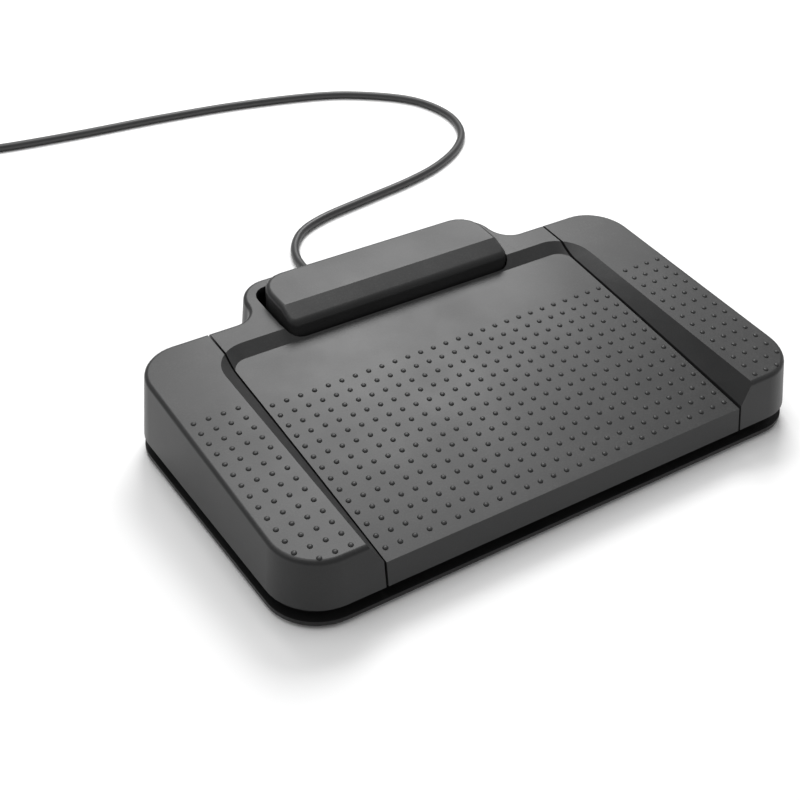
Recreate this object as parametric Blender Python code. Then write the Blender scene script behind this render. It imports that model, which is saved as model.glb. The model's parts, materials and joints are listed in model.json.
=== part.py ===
"""USB foot control for a dictation desk: three hinged pedals and a toe bar over a weighted base.

Metres, +Z up, +Y to the back, +X to the right. The origin is on the floor, under the middle of
the housing. Each pedal turns about the long steel shaft near the back; the toe bar turns about its
own short shaft inside the hump.
"""
import math

import bmesh
import bpy
from mathutils import Vector

for old in list(bpy.data.objects):
    bpy.data.objects.remove(old, do_unlink=True)

MM = 0.001
GAP = 0.3 * MM                      # air left between two pieces that touch

# Footprint of the housing
BODY_WIDTH = 221.0 * MM
BODY_DEPTH = 144.4 * MM             # front lip to the back of the hump
HUMP_WIDTH = 117.4 * MM
HUMP_LENGTH = 20.7 * MM             # how far the hump stands out behind the side pedals
FRONT_CORNER_RADIUS = 18.8 * MM
REAR_CORNER_RADIUS = 19.0 * MM
HUMP_CORNER_RADIUS = 15.0 * MM
HUMP_FILLET_RADIUS = 6.8 * MM
ARC_STEPS = 12

# Heights
MAT_THICKNESS = 0.9 * MM
BASE_BOTTOM = MAT_THICKNESS + GAP
LIP_TOP = 3.2 * MM
SKIRT_BOTTOM = 8.2 * MM
SIDE_FRONT_HEIGHT = 25.9 * MM       # top of a side pedal at its front edge
SIDE_SLOPE = math.radians(4.2)
PLATE_FRONT_HEIGHT = 17.15 * MM
PLATE_BACK_HEIGHT = 30.45 * MM
PLATE_CROWN = 0.4 * MM
SIDE_DRAFT = math.radians(5.0)
FRONT_DRAFT = math.radians(10.0)
REAR_DRAFT = math.radians(4.5)
TOP_EDGE_RADIUS = 1.5 * MM

# Shells
SHELL_WALL = 2.2 * MM
CENTRE_WIDTH = 153.8 * MM
SEAM_GAP = 0.9 * MM
HUMP_BACK_RIM = 7.1 * MM            # hump's top left behind the toe bar's pocket
RECESS_SIDE_SLANT = 5.7 * MM        # how far the wall leans out at the sides
RECESS_BACK_SLANT = 5.2 * MM
RECESS_BOTTOM_RADIUS = 6.8 * MM
RECESS_TOP_RADIUS = 14.0 * MM

# Base
TRAY_WALL = 1.6 * MM
TRAY_WALL_TOP = 9.5 * MM
TRAY_SIDE_CLEARANCE = 1.0 * MM
TRAY_FRONT_CLEARANCE = 2.4 * MM
MAT_INSET = 2.0 * MM

# Pedal hinge
HINGE_TO_REAR = 13.5 * MM           # shaft axis ahead of the side pedals' rear edge
HINGE_HEIGHT = 11.0 * MM
HINGE_SHAFT_RADIUS = 2.0 * MM
HINGE_CLEARANCE = 0.3 * MM
PEDAL_STROKE = math.radians(2.0)
STROKE_CLEARANCE = 0.6 * MM         # air left between a pressed pedal and what is under it
EAR_THICKNESS = 4.2 * MM
EAR_HALF_DEPTH = 5.5 * MM
SHAFT_PAST_EAR = 1.2 * MM
HEEL_RELIEF = 4.0 * MM
POST_WIDTH = 5.0 * MM
POST_TOP = 15.0 * MM
POST_AHEAD = 9.0 * MM               # how far a post reaches ahead of the shaft, and behind it
POST_BEHIND = 5.0 * MM
POST_FROM_SEAM = 11.5 * MM
POST_OFF_MIDDLE = 3.0 * MM
SHAFT_END_CLEARANCE = 0.6 * MM
KEEPER_THICKNESS = 2.0 * MM
KEEPER_SCREW_AHEAD = 5.8 * MM
KEEPER_SCREW_TIP = 7.5 * MM

# Screws
SCREW_RADIUS = 1.1 * MM
SCREW_HEAD_RADIUS = 2.1 * MM
SCREW_HEAD_TOP_RADIUS = 1.5 * MM
SCREW_HEAD = 1.5 * MM
CROSS_HALF_LENGTH = 1.1 * MM
CROSS_HALF_WIDTH = 0.25 * MM
CROSS_DEPTH = 0.7 * MM
SCREW_POST_RADIUS = 3.0 * MM

# Toe bar
BAR_LENGTH = 99.0 * MM
BAR_DEPTH = 27.9 * MM
BAR_RIDGE_BACK = 8.3 * MM           # ridge line behind the bar's front face
BAR_RIDGE_HEIGHT = 40.2 * MM
BAR_FRONT_HEIGHT = 36.7 * MM
BAR_SKIRT_BOTTOM = 27.0 * MM
BAR_WALL = 2.0 * MM
BAR_FRONT_CORNER = 3.0 * MM
BAR_REAR_CORNER = 10.5 * MM
BAR_EDGE_RADIUS = 2.0 * MM
POCKET_RIM = 0.6 * MM               # rim left between the recess's back wall and the pocket
POCKET_SIDE_GAP = 1.7 * MM
POCKET_FRONT_GAP = 1.5 * MM
POCKET_REAR_GAP = 1.5 * MM
POCKET_CORNER = 6.5 * MM
TOE_AXIS_FROM_REAR = 6.0 * MM
TOE_AXIS_HEIGHT = 29.0 * MM
TOE_SHAFT_RADIUS = 1.5 * MM
TOE_EAR_X = 36.0 * MM
TOE_EAR_AROUND = 3.6 * MM           # material round the bar's shaft
BAR_EMBED = 1.2 * MM
BRACKET_TOP = 22.0 * MM
BRACKET_PLATE = 2.0 * MM
BRACKET_END_GAP = 7.5 * MM          # bracket's end inside the bar's end
BRACKET_FRONT_GAP = 3.0 * MM
BRACKET_REAR_GAP = 1.0 * MM
BRACKET_LEG = 2.4 * MM
BRACKET_LEG_HALF_DEPTH = 5.0 * MM
BRACKET_TOE = 10.5 * MM             # inward reach of the leg's foot
BRACKET_SEAT = 6.0 * MM
BRACKET_POST_RADIUS = 3.4 * MM
BRACKET_FOOT_FROM_REAR = 8.0 * MM
BRACKET_SCREW_INSET = 6.5 * MM
UPRIGHT_THICKNESS = 3.6 * MM
UPRIGHT_CLEARANCE = 1.0 * MM
UPRIGHT_FRONT = 4.0 * MM
UPRIGHT_REAR = 3.0 * MM
UPRIGHT_OVER_AXIS = 4.0 * MM
TOE_SPRING_X = 20.0 * MM
TOE_SPRING_FROM_FRONT = 10.5 * MM
TOE_PEG_HEIGHT = 3.0 * MM
TOE_MAGNET_FROM_FRONT = 10.5 * MM
TOE_MAGNET_OVER_PLATE = 6.2 * MM

# Springs, stops and sensing
SPRING_RADIUS = 4.6 * MM
SPRING_WIRE_RADIUS = 0.45 * MM
SPRING_TURNS = 4
PEG_RADIUS = 3.0 * MM
PEG_HEIGHT = 5.0 * MM
SPRING_FROM_FRONT = 34.0 * MM
SPRING_SEAT_DROP = 6.0 * MM         # spring seat under the side pedal's top
SPRING_SEAT_WALL = 1.0 * MM
CENTRE_SPRING_SHARE = 0.68          # centre springs' place between the middle and the seam
BUMPER_FROM_FRONT = 15.0 * MM
BUMPER_RADIUS = 4.0 * MM
BUMPER_HEIGHT = 3.0 * MM
MAGNET_RADIUS = 3.0 * MM
MAGNET_HEIGHT = 3.0 * MM
MAGNET_BOTTOM = 12.3 * MM
MAGNET_SEAT_WALL = 1.5 * MM
BOARD_HEIGHT = 6.6 * MM
BOARD_THICKNESS = 1.6 * MM
BOARD_DEPTH = 20.0 * MM
BOARD_AHEAD = 38.0 * MM             # middle of the board ahead of the hinge shaft
BOARD_PAST_SENSOR = 5.0 * MM
BOARD_SCREW_X = 22.0 * MM
BOARD_SCREW_BACK = 6.0 * MM
BOARD_REST_AHEAD = 5.0 * MM
BOARD_REST_FROM_SEAM = 2.0 * MM
SENSOR_SIZE = (4.0 * MM, 3.0 * MM, 1.2 * MM)
CHIP_SIZE = (9.0 * MM, 9.0 * MM, 1.4 * MM)
CHIP_X = -41.5 * MM
SOCKET_SIZE = (10.0 * MM, 7.0 * MM, 4.5 * MM)
SOCKET_PAST_BOARD = 1.0 * MM
TOE_BOARD_HALF = (7.0 * MM, 5.0 * MM)
BALLAST_THICKNESS = 5.0 * MM
BALLAST_FROM_FRONT = 10.0 * MM
BALLAST_FROM_SPRING = 12.0 * MM
BALLAST_FROM_BOARD = 4.0 * MM

# Cord
CORD_RADIUS = 1.9 * MM
GLAND_HEIGHT = 7.0 * MM
GLAND_RADIUS = 2.7 * MM
GLAND_TIP_RADIUS = 2.25 * MM
GLAND_LENGTH = 20.0 * MM
GLAND_COLLAR_RADIUS = 3.5 * MM
GLAND_COLLAR_LENGTH = 3.0 * MM
GLAND_NOTCH_CLEARANCE = 1.0 * MM
CABLE_INSIDE_HEIGHT = 6.3 * MM
CLAMP_X = 8.0 * MM
CLAMP_FROM_REAR = 20.0 * MM
CLAMP_END = 3.5 * MM
CLAMP_HALF_DEPTH = 3.0 * MM
CLAMP_THICKNESS = 2.0 * MM
COIL_MID_RADIUS = 22.0 * MM
COIL_COLUMNS = 4                    # turns side by side, and turns on top of each other
COIL_ROWS = 3
TIE_THICKNESS = 0.8 * MM
TIE_WIDTH = 4.0 * MM
TIE_PLACES = {"coil_tie_1": 130, "coil_tie_2": 310}     # degrees round the coil
PLUG_BODY = (15.7 * MM, 30.0 * MM, 8.0 * MM)
PLUG_EDGE_RADIUS = 1.6 * MM
PLUG_SHELL = (12.0 * MM, 12.0 * MM, 4.5 * MM)
PLUG_SHELL_WALL = 0.4 * MM
PLUG_TONGUE_DEPTH = 3.0 * MM
PLUG_LIFT = 0.1 * MM

HALF_WIDTH = BODY_WIDTH / 2
FRONT = -BODY_DEPTH / 2
HUMP_REAR = BODY_DEPTH / 2
REAR = HUMP_REAR - HUMP_LENGTH
SEAM = CENTRE_WIDTH / 2
HINGE_Y = REAR - HINGE_TO_REAR
TOP_FRONT = FRONT + (SIDE_FRONT_HEIGHT - SKIRT_BOTTOM) * math.tan(FRONT_DRAFT)
BEYOND = 10 * MM                    # how far a cutter runs past what it cuts
EMBED = 0.8 * MM                    # how far a post or rib runs into what it stands on
ABOVE_ALL = BAR_RIDGE_HEIGHT + BEYOND

POCKET_REAR = HUMP_REAR - HUMP_BACK_RIM
BAR_REAR = POCKET_REAR - POCKET_REAR_GAP
BAR_FRONT = BAR_REAR - BAR_DEPTH
POCKET_FRONT = BAR_FRONT - POCKET_FRONT_GAP
RECESS_BACK = POCKET_FRONT - POCKET_RIM
POCKET_HALF = BAR_LENGTH / 2 + POCKET_SIDE_GAP
TOE_AXIS_Y = BAR_REAR - TOE_AXIS_FROM_REAR
PEDAL_AXIS = (0, HINGE_Y, HINGE_HEIGHT)
TOE_AXIS = (0, TOE_AXIS_Y, TOE_AXIS_HEIGHT)

foot_control = bpy.data.collections.new("foot_control")
bpy.context.scene.collection.children.link(foot_control)


# ---------------------------------------------------------------- materials
def material(name, colour, roughness, metallic=0.0):
    made = bpy.data.materials.new(name)
    made.use_nodes = True
    shader = made.node_tree.nodes["Principled BSDF"]
    shader.inputs["Base Color"].default_value = (*colour, 1.0)
    shader.inputs["Roughness"].default_value = roughness
    shader.inputs["Metallic"].default_value = metallic
    return made


CHARCOAL = material("charcoal_plastic", (0.075, 0.076, 0.078), 0.5)
BLACK = material("black_plastic", (0.02, 0.02, 0.021), 0.55)
RUBBER = material("black_rubber", (0.018, 0.018, 0.018), 0.85)
CORD_JACKET = material("cord_jacket", (0.03, 0.03, 0.031), 0.5)
STEEL = material("bright_steel", (0.62, 0.62, 0.61), 0.3, 1.0)
MAGNET = material("nickel_magnet", (0.55, 0.54, 0.5), 0.25, 1.0)
BOARD = material("green_board", (0.02, 0.16, 0.06), 0.45)
CHIP = material("chip_resin", (0.015, 0.015, 0.016), 0.4)


# ---------------------------------------------------------------- solids
def band_height(y):
    """Top of the side pedals, the back band and the hump."""
    return SIDE_FRONT_HEIGHT + (y - TOP_FRONT) * math.tan(SIDE_SLOPE)


def plate_height(y):
    """Top of the recessed centre plate, with its slight crown."""
    along = (y - FRONT) / (RECESS_BACK - FRONT)
    straight = PLATE_FRONT_HEIGHT + (PLATE_BACK_HEIGHT - PLATE_FRONT_HEIGHT) * along
    return straight + PLATE_CROWN * (1 - (2 * along - 1) ** 2)


def arc(centre_x, centre_y, radius, start, end, steps=ARC_STEPS):
    """Points on an arc from start to end, in degrees."""
    turns = [math.radians(start + (end - start) * step / steps) for step in range(steps + 1)]
    return [(centre_x + radius * math.cos(a), centre_y + radius * math.sin(a)) for a in turns]


def footprint(side, front=None, rear=None):
    """Outline of the housing drawn in by the given distances, anticlockwise seen from above."""
    front = side if front is None else front
    rear = side if rear is None else rear
    half, low, high = HALF_WIDTH - side, FRONT + front, REAR - rear
    hump, top = HUMP_WIDTH / 2 - side, HUMP_REAR - rear
    r_front, r_rear = FRONT_CORNER_RADIUS - side, REAR_CORNER_RADIUS - side
    r_hump, r_fillet = HUMP_CORNER_RADIUS - side, HUMP_FILLET_RADIUS + side
    right = arc(half - r_front, low + r_front, r_front, -90, 0)
    right += arc(half - r_rear, high - r_rear, r_rear, 0, 90)
    right += arc(hump + r_fillet, high + r_fillet, r_fillet, -90, -180)
    right += arc(hump - r_hump, top - r_hump, r_hump, 0, 90)
    return right + [(-x, y) for x, y in reversed(right)]


def rounded_rectangle(half_x, low_y, high_y, r_front, r_rear, steps=5):
    right = arc(half_x - r_front, low_y + r_front, r_front, -90, 0, steps)
    right += arc(half_x - r_rear, high_y - r_rear, r_rear, 0, 90, steps)
    return right + [(-x, y) for x, y in reversed(right)]


def loft(lower, low_z, upper, high_z):
    """Closed solid between two outlines with the same number of points."""
    mesh = bmesh.new()
    bottom = [mesh.verts.new((x, y, low_z)) for x, y in lower]
    top = [mesh.verts.new((x, y, high_z)) for x, y in upper]
    mesh.faces.new(list(reversed(bottom)))
    mesh.faces.new(top)
    for i in range(len(bottom)):
        j = (i + 1) % len(bottom)
        mesh.faces.new((bottom[i], bottom[j], top[j], top[i]))
    return mesh


def prism(outline, low_z, high_z):
    return loft(outline, low_z, outline, high_z)


def block(low, high):
    mesh = bmesh.new()
    bmesh.ops.create_cube(mesh, size=1.0)
    size = [b - a for a, b in zip(low, high)]
    bmesh.ops.scale(mesh, vec=size, verts=mesh.verts)
    bmesh.ops.translate(mesh, vec=[(a + b) / 2 for a, b in zip(low, high)], verts=mesh.verts)
    return mesh


def rod(start, end, radius, end_radius=None, sides=24):
    """Cylinder or cone between two points."""
    mesh = bmesh.new()
    start, end = Vector(start), Vector(end)
    far = radius if end_radius is None else end_radius
    bmesh.ops.create_cone(mesh, cap_ends=True, segments=sides, radius1=radius, radius2=far,
                          depth=(end - start).length)
    turn = Vector((0, 0, 1)).rotation_difference(end - start).to_matrix()
    bmesh.ops.rotate(mesh, cent=(0, 0, 0), matrix=turn, verts=mesh.verts)
    bmesh.ops.translate(mesh, vec=(start + end) / 2, verts=mesh.verts)
    return mesh


def slice_off(mesh, point, normal):
    """Cut away what lies beyond a plane and close the cut."""
    everything = mesh.verts[:] + mesh.edges[:] + mesh.faces[:]
    cut = bmesh.ops.bisect_plane(mesh, geom=everything, plane_co=point, plane_no=normal,
                                 clear_outer=True, dist=1e-7)
    rim = [e for e in cut["geom_cut"] if isinstance(e, bmesh.types.BMEdge)]
    bmesh.ops.contextual_create(mesh, geom=rim)
    return mesh


def round_edges(mesh, wanted, radius, segments=4):
    """Round the wanted edges; the outlines' own corner radii leave room for it."""
    edges = [e for e in mesh.edges if wanted(e)]
    bmesh.ops.bevel(mesh, geom=edges, offset=radius, offset_type="OFFSET", segments=segments,
                    profile=0.5, affect="EDGES", clamp_overlap=False, material=-1)
    return mesh


def as_object(name, mesh):
    data = bpy.data.meshes.new(name)
    mesh.to_mesh(data)
    mesh.free()
    made = bpy.data.objects.new(name, data)
    foot_control.objects.link(made)
    return made


def combine(operation, mesh, *tools):
    """Boolean of a solid with each tool in turn; the tools are used up."""
    for tool in tools:
        target, other = as_object("target", mesh), as_object("tool", tool)
        step = target.modifiers.new("step", "BOOLEAN")
        step.operation = operation
        step.object = other
        step.solver = "EXACT"
        seen = target.evaluated_get(bpy.context.evaluated_depsgraph_get())
        mesh = bmesh.new()
        mesh.from_mesh(seen.to_mesh())
        for used in (target, other):
            bpy.data.objects.remove(used, do_unlink=True)
    bmesh.ops.remove_doubles(mesh, verts=mesh.verts, dist=1e-6)
    return mesh


def cut(mesh, *tools):
    return combine("DIFFERENCE", mesh, *tools)


def join(mesh, *tools):
    return combine("UNION", mesh, *tools)


def common(mesh, *tools):
    return combine("INTERSECT", mesh, *tools)


def node(name, mesh, look, origin=(0, 0, 0), smooth=False):
    """Finish a piece as a named object whose origin is at the given point."""
    bmesh.ops.translate(mesh, vec=-Vector(origin), verts=mesh.verts)
    made = as_object(name, mesh)
    made.location = origin
    made.data.materials.append(look)
    if smooth:
        made.data.shade_smooth()
        made.data.set_sharp_from_angle(angle=math.radians(35))
    return made


# ---------------------------------------------------------------- the pedals' outer forms
def drafted(inset, high):
    """Housing volume with leaning walls, from the skirt's bottom up."""
    rise = high - SKIRT_BOTTOM
    side = inset + rise * math.tan(SIDE_DRAFT)
    front = inset + rise * math.tan(FRONT_DRAFT)
    rear = inset + rise * math.tan(REAR_DRAFT)
    return footprint(side, front, rear)


def housing_form(inset=0.0, drop=0.0, low=SKIRT_BOTTOM):
    """The whole top of the housing as one solid under the band's plane lowered by drop."""
    mesh = loft(drafted(inset, low), low, drafted(inset, ABOVE_ALL), ABOVE_ALL)
    normal = Vector((0, -math.sin(SIDE_SLOPE), math.cos(SIDE_SLOPE)))
    return slice_off(mesh, (0, 0, band_height(0) - drop / math.cos(SIDE_SLOPE)), normal)


def is_top_rim(edge):
    """Edge where a near-level face meets a near-upright one."""
    if len(edge.link_faces) != 2:
        return False
    levels = sorted(face.normal.z for face in edge.link_faces)
    return levels[1] > 0.9 and levels[0] < 0.5


def recess_stations(grow):
    """Matching points round half of the recess: on the plate and on the band's plane."""
    side, back = SEAM + grow, RECESS_BACK + grow
    top_side, top_back = side + RECESS_SIDE_SLANT, back + RECESS_BACK_SLANT
    r_low, r_high = RECESS_BOTTOM_RADIUS + grow, RECESS_TOP_RADIUS + grow
    ahead = FRONT - BEYOND
    straight = 8
    low = [(side, ahead + (back - r_low - ahead) * i / straight) for i in range(straight)]
    high = [(top_side, ahead + (top_back - r_high - ahead) * i / straight) for i in range(straight)]
    low += arc(side - r_low, back - r_low, r_low, 0, 90)
    high += arc(top_side - r_high, top_back - r_high, r_high, 0, 90)
    return list(zip(low, high))


def recess_form(grow=0.0):
    """Solid that hollows out the recess, its floor following the plate."""
    mesh = bmesh.new()
    rings = []
    above = 1.8                      # runs on past the band's plane, along the wall's slant
    for (xl, yl), (xh, yh) in recess_stations(grow):
        foot = Vector((xl, yl, plate_height(yl) - grow))
        rim = Vector((xh, yh, band_height(yh) - grow))
        crest = foot + (rim - foot) * above
        crest.z = max(crest.z, ABOVE_ALL)
        mirror = Vector((-1, 1, 1))
        ring = [foot, rim, crest, crest * mirror, rim * mirror, foot * mirror]
        rings.append([mesh.verts.new(point) for point in ring])
    for ring, following in zip(rings, rings[1:]):
        for i in range(6):
            j = (i + 1) % 6
            mesh.faces.new((ring[i], following[i], following[j], ring[j]))
    mesh.faces.new(rings[0])
    mesh.faces.new(list(reversed(rings[-1])))
    bmesh.ops.recalc_face_normals(mesh, faces=mesh.faces)
    return mesh


def pedal_slab(low_x, high_x, wall=0.0):
    """Upright slab that keeps one pedal's share of the housing."""
    low = (low_x + wall, FRONT - 2 * BEYOND, -BEYOND)
    return block(low, (high_x - wall, HUMP_REAR + 2 * BEYOND, ABOVE_ALL))


def pedal_shell(low_x, high_x):
    """Hollow, open-bottomed shell of the housing between two planes of constant X."""
    outside = round_edges(housing_form(), is_top_rim, TOP_EDGE_RADIUS)
    outside = cut(outside, recess_form())
    outside = common(outside, pedal_slab(low_x, high_x))
    inside = housing_form(SHELL_WALL, SHELL_WALL, SKIRT_BOTTOM - BEYOND / 2)
    inside = cut(inside, recess_form(SHELL_WALL))
    inside = common(inside, pedal_slab(low_x, high_x, SHELL_WALL))
    return cut(outside, inside)


def under_plate(y):
    return plate_height(y) - SHELL_WALL


def under_band(y):
    return band_height(y) - SHELL_WALL


def ear(low_x, high_x, top):
    """Hinge ear: it stands round the shaft and its heel is the pedal's rest stop."""
    return block((low_x, HINGE_Y - EAR_HALF_DEPTH, LIP_TOP + GAP),
                 (high_x, HINGE_Y + EAR_HALF_DEPTH, top))


def hinge_bore():
    """Bore for the shaft; it ends inside, so the outer walls stay whole."""
    end = SHAFT_HALF_LENGTH + SHAFT_END_CLEARANCE
    radius = HINGE_SHAFT_RADIUS + HINGE_CLEARANCE
    return rod((-end, HINGE_Y, HINGE_HEIGHT), (end, HINGE_Y, HINGE_HEIGHT), radius)


def heel_relief():
    """Takes the ear's front toe off, so the pedal can be pressed."""
    y = HINGE_Y - EAR_HALF_DEPTH
    low = LIP_TOP - MM
    outline = [(y - MM, low), (y + HEEL_RELIEF, low), (y - MM, low + HEEL_RELIEF + MM)]
    mesh = bmesh.new()
    left = [mesh.verts.new((-HALF_WIDTH, a, b)) for a, b in outline]
    right = [mesh.verts.new((HALF_WIDTH, a, b)) for a, b in outline]
    mesh.faces.new(left)
    mesh.faces.new(list(reversed(right)))
    for i in range(3):
        j = (i + 1) % 3
        mesh.faces.new((left[j], left[i], right[i], right[j]))
    bmesh.ops.recalc_face_normals(mesh, faces=mesh.faces)
    return mesh


def tray_wall_outline(extra):
    """Outline of the tray's upright wall, drawn in by a further distance."""
    side = SHELL_WALL + TRAY_SIDE_CLEARANCE + extra
    return footprint(side, SHELL_WALL + TRAY_FRONT_CLEARANCE + extra, side)


def tray_wall_relief():
    """Notches the seam walls where they cross the tray's wall, with room for the stroke."""
    top = TRAY_WALL_TOP + travel(FRONT) + STROKE_CLEARANCE
    ring = prism(tray_wall_outline(-STROKE_CLEARANCE), 0.0, top)
    inner = tray_wall_outline(TRAY_WALL + STROKE_CLEARANCE)
    return cut(ring, prism(inner, -BEYOND, top + BEYOND))


def board_relief():
    """Notches the seam walls where they pass over the circuit board, with room for the stroke."""
    ahead = BOARD_Y - BOARD_DEPTH / 2 - STROKE_CLEARANCE
    behind = BOARD_Y + BOARD_DEPTH / 2 + STROKE_CLEARANCE
    top = BOARD_HEIGHT + BOARD_THICKNESS + travel(ahead) + STROKE_CLEARANCE
    reach = BOARD_HALF + STROKE_CLEARANCE
    return block((-reach, ahead, 0.0), (reach, behind, top))


def gland_hole(clearance):
    """Round hole through the hump's rear wall for the strain relief."""
    start = (0, HUMP_REAR - BEYOND, GLAND_HEIGHT)
    return rod(start, (0, HUMP_REAR + BEYOND, GLAND_HEIGHT), GLAND_RADIUS + clearance)


def boss(x, y, bottom, under, radius):
    """Round boss under a pedal's top, from its free end up into the wall."""
    return rod((x, y, bottom), (x, y, under(y) + SHELL_WALL / 2), radius)


def travel(y):
    """How far a point of a pressed pedal drops."""
    return (HINGE_Y - y) * math.sin(PEDAL_STROKE)


# ---------------------------------------------------------------- places of the inner pieces
SIDE_MIDDLE = (SEAM + HALF_WIDTH) / 2
CENTRE_SPRING_X = CENTRE_SPRING_SHARE * SEAM
SPRING_Y = FRONT + SPRING_FROM_FRONT
BUMPER_Y = FRONT + BUMPER_FROM_FRONT
BOARD_Y = HINGE_Y - BOARD_AHEAD
MAGNET_BOSS_BOTTOM = MAGNET_BOTTOM + MAGNET_HEIGHT + GAP
OVER_SEAM, UNDER_SEAM = SEAM + SEAM_GAP / 2, SEAM - SEAM_GAP / 2
TRAY_WALL_INNER = SHELL_WALL + TRAY_SIDE_CLEARANCE + TRAY_WALL     # inner face from the housing's side
CORNER_Y = REAR - REAR_CORNER_RADIUS
CORNER_ROOM = math.sqrt((REAR_CORNER_RADIUS - TRAY_WALL_INNER) ** 2
                        - (HINGE_Y + HINGE_SHAFT_RADIUS - CORNER_Y) ** 2)
SHAFT_HALF_LENGTH = HALF_WIDTH - REAR_CORNER_RADIUS + CORNER_ROOM - SHAFT_END_CLEARANCE
OUTER_EAR = SHAFT_HALF_LENGTH - SHAFT_PAST_EAR
EAR_SPANS = {
    "left_pedal": [(-OVER_SEAM - EAR_THICKNESS, -OVER_SEAM), (-OUTER_EAR, -OUTER_EAR + EAR_THICKNESS)],
    "centre_pedal": [(-UNDER_SEAM, -UNDER_SEAM + EAR_THICKNESS), (UNDER_SEAM - EAR_THICKNESS, UNDER_SEAM)],
    "right_pedal": [(OVER_SEAM, OVER_SEAM + EAR_THICKNESS), (OUTER_EAR - EAR_THICKNESS, OUTER_EAR)],
}
POST_X = [sign * x for sign in (-1, 1) for x in (SEAM - POST_FROM_SEAM, SIDE_MIDDLE - POST_OFF_MIDDLE)]
BOARD_HALF = SIDE_MIDDLE + BOARD_PAST_SENSOR
BOARD_SCREWS = [(sign * BOARD_SCREW_X, BOARD_Y + BOARD_SCREW_BACK) for sign in (-1, 1)]
BOARD_RESTS = [(sign * (SEAM - BOARD_REST_FROM_SEAM), BOARD_Y - BOARD_REST_AHEAD) for sign in (-1, 1)]
CLAMP_Y = HUMP_REAR - CLAMP_FROM_REAR
CLAMP_SEAT = GLAND_HEIGHT + CORD_RADIUS
BRACKET_HALF = BAR_LENGTH / 2 - BRACKET_END_GAP
BRACKET_FOOT_Y = BAR_REAR - BRACKET_FOOT_FROM_REAR
BRACKET_SCREW_X = BRACKET_HALF - BRACKET_SCREW_INSET
TOE_MAGNET_Y = BAR_FRONT + TOE_MAGNET_FROM_FRONT
TOE_MAGNET_BOTTOM = BRACKET_TOP + TOE_MAGNET_OVER_PLATE
TOE_SPRING_Y = BAR_FRONT + TOE_SPRING_FROM_FRONT


def side_pedal(name, sign):
    far = HALF_WIDTH + BEYOND
    span = (OVER_SEAM, far) if sign > 0 else (-far, -OVER_SEAM)
    mesh = pedal_shell(*span)
    ear_front = HINGE_Y - EAR_HALF_DEPTH
    for low_x, high_x in EAR_SPANS[name]:
        by_seam = min(abs(low_x), abs(high_x)) < OVER_SEAM + EAR_THICKNESS / 2
        roof = plate_height(RECESS_BACK) if by_seam else band_height(ear_front)
        mesh = join(mesh, ear(low_x, high_x, roof - EMBED))
    x = sign * SIDE_MIDDLE
    spring_seat = under_band(SPRING_Y) - SPRING_SEAT_DROP
    mesh = join(mesh, boss(x, SPRING_Y, spring_seat, under_band, SPRING_RADIUS + SPRING_SEAT_WALL))
    mesh = join(mesh, boss(x, BOARD_Y, MAGNET_BOSS_BOTTOM, under_band, MAGNET_RADIUS + MAGNET_SEAT_WALL))
    mesh = cut(mesh, hinge_bore(), heel_relief(), tray_wall_relief(), board_relief())
    return node(name, mesh, CHARCOAL, PEDAL_AXIS, smooth=True)


def centre_pedal():
    mesh = pedal_shell(-UNDER_SEAM, UNDER_SEAM)
    ear_top = plate_height(RECESS_BACK - EAR_HALF_DEPTH) - EMBED
    for low_x, high_x in EAR_SPANS["centre_pedal"]:
        mesh = join(mesh, ear(low_x, high_x, ear_top))
    mesh = join(mesh, boss(0, BOARD_Y, MAGNET_BOSS_BOTTOM, under_plate, MAGNET_RADIUS + MAGNET_SEAT_WALL))
    pocket = rounded_rectangle(POCKET_HALF, POCKET_FRONT, POCKET_REAR, POCKET_CORNER, POCKET_CORNER)
    mesh = cut(mesh, prism(pocket, BRACKET_TOP, ABOVE_ALL))
    notch = gland_hole(GLAND_NOTCH_CLEARANCE)
    mesh = cut(mesh, hinge_bore(), heel_relief(), notch, tray_wall_relief(), board_relief())
    return node("centre_pedal", mesh, CHARCOAL, PEDAL_AXIS, smooth=True)


# ---------------------------------------------------------------- toe bar
def bar_form(inset, low):
    """Bar volume: level ends and back, sloping top, chamfered front."""
    half = BAR_LENGTH / 2 - inset
    outline = rounded_rectangle(half, BAR_FRONT + inset, BAR_REAR - inset,
                                BAR_FRONT_CORNER - inset / 2, BAR_REAR_CORNER - inset / 2)
    mesh = prism(outline, low, ABOVE_ALL)
    ridge_y = BAR_FRONT + BAR_RIDGE_BACK
    top = Vector((0, -math.sin(SIDE_SLOPE), math.cos(SIDE_SLOPE)))
    slope = math.atan2(BAR_RIDGE_HEIGHT - BAR_FRONT_HEIGHT, BAR_RIDGE_BACK)
    chamfer = Vector((0, -math.sin(slope), math.cos(slope)))
    ridge = Vector((0, ridge_y, BAR_RIDGE_HEIGHT))
    slice_off(mesh, ridge - top * inset, top)
    slice_off(mesh, ridge - chamfer * inset, chamfer)
    return mesh


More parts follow.
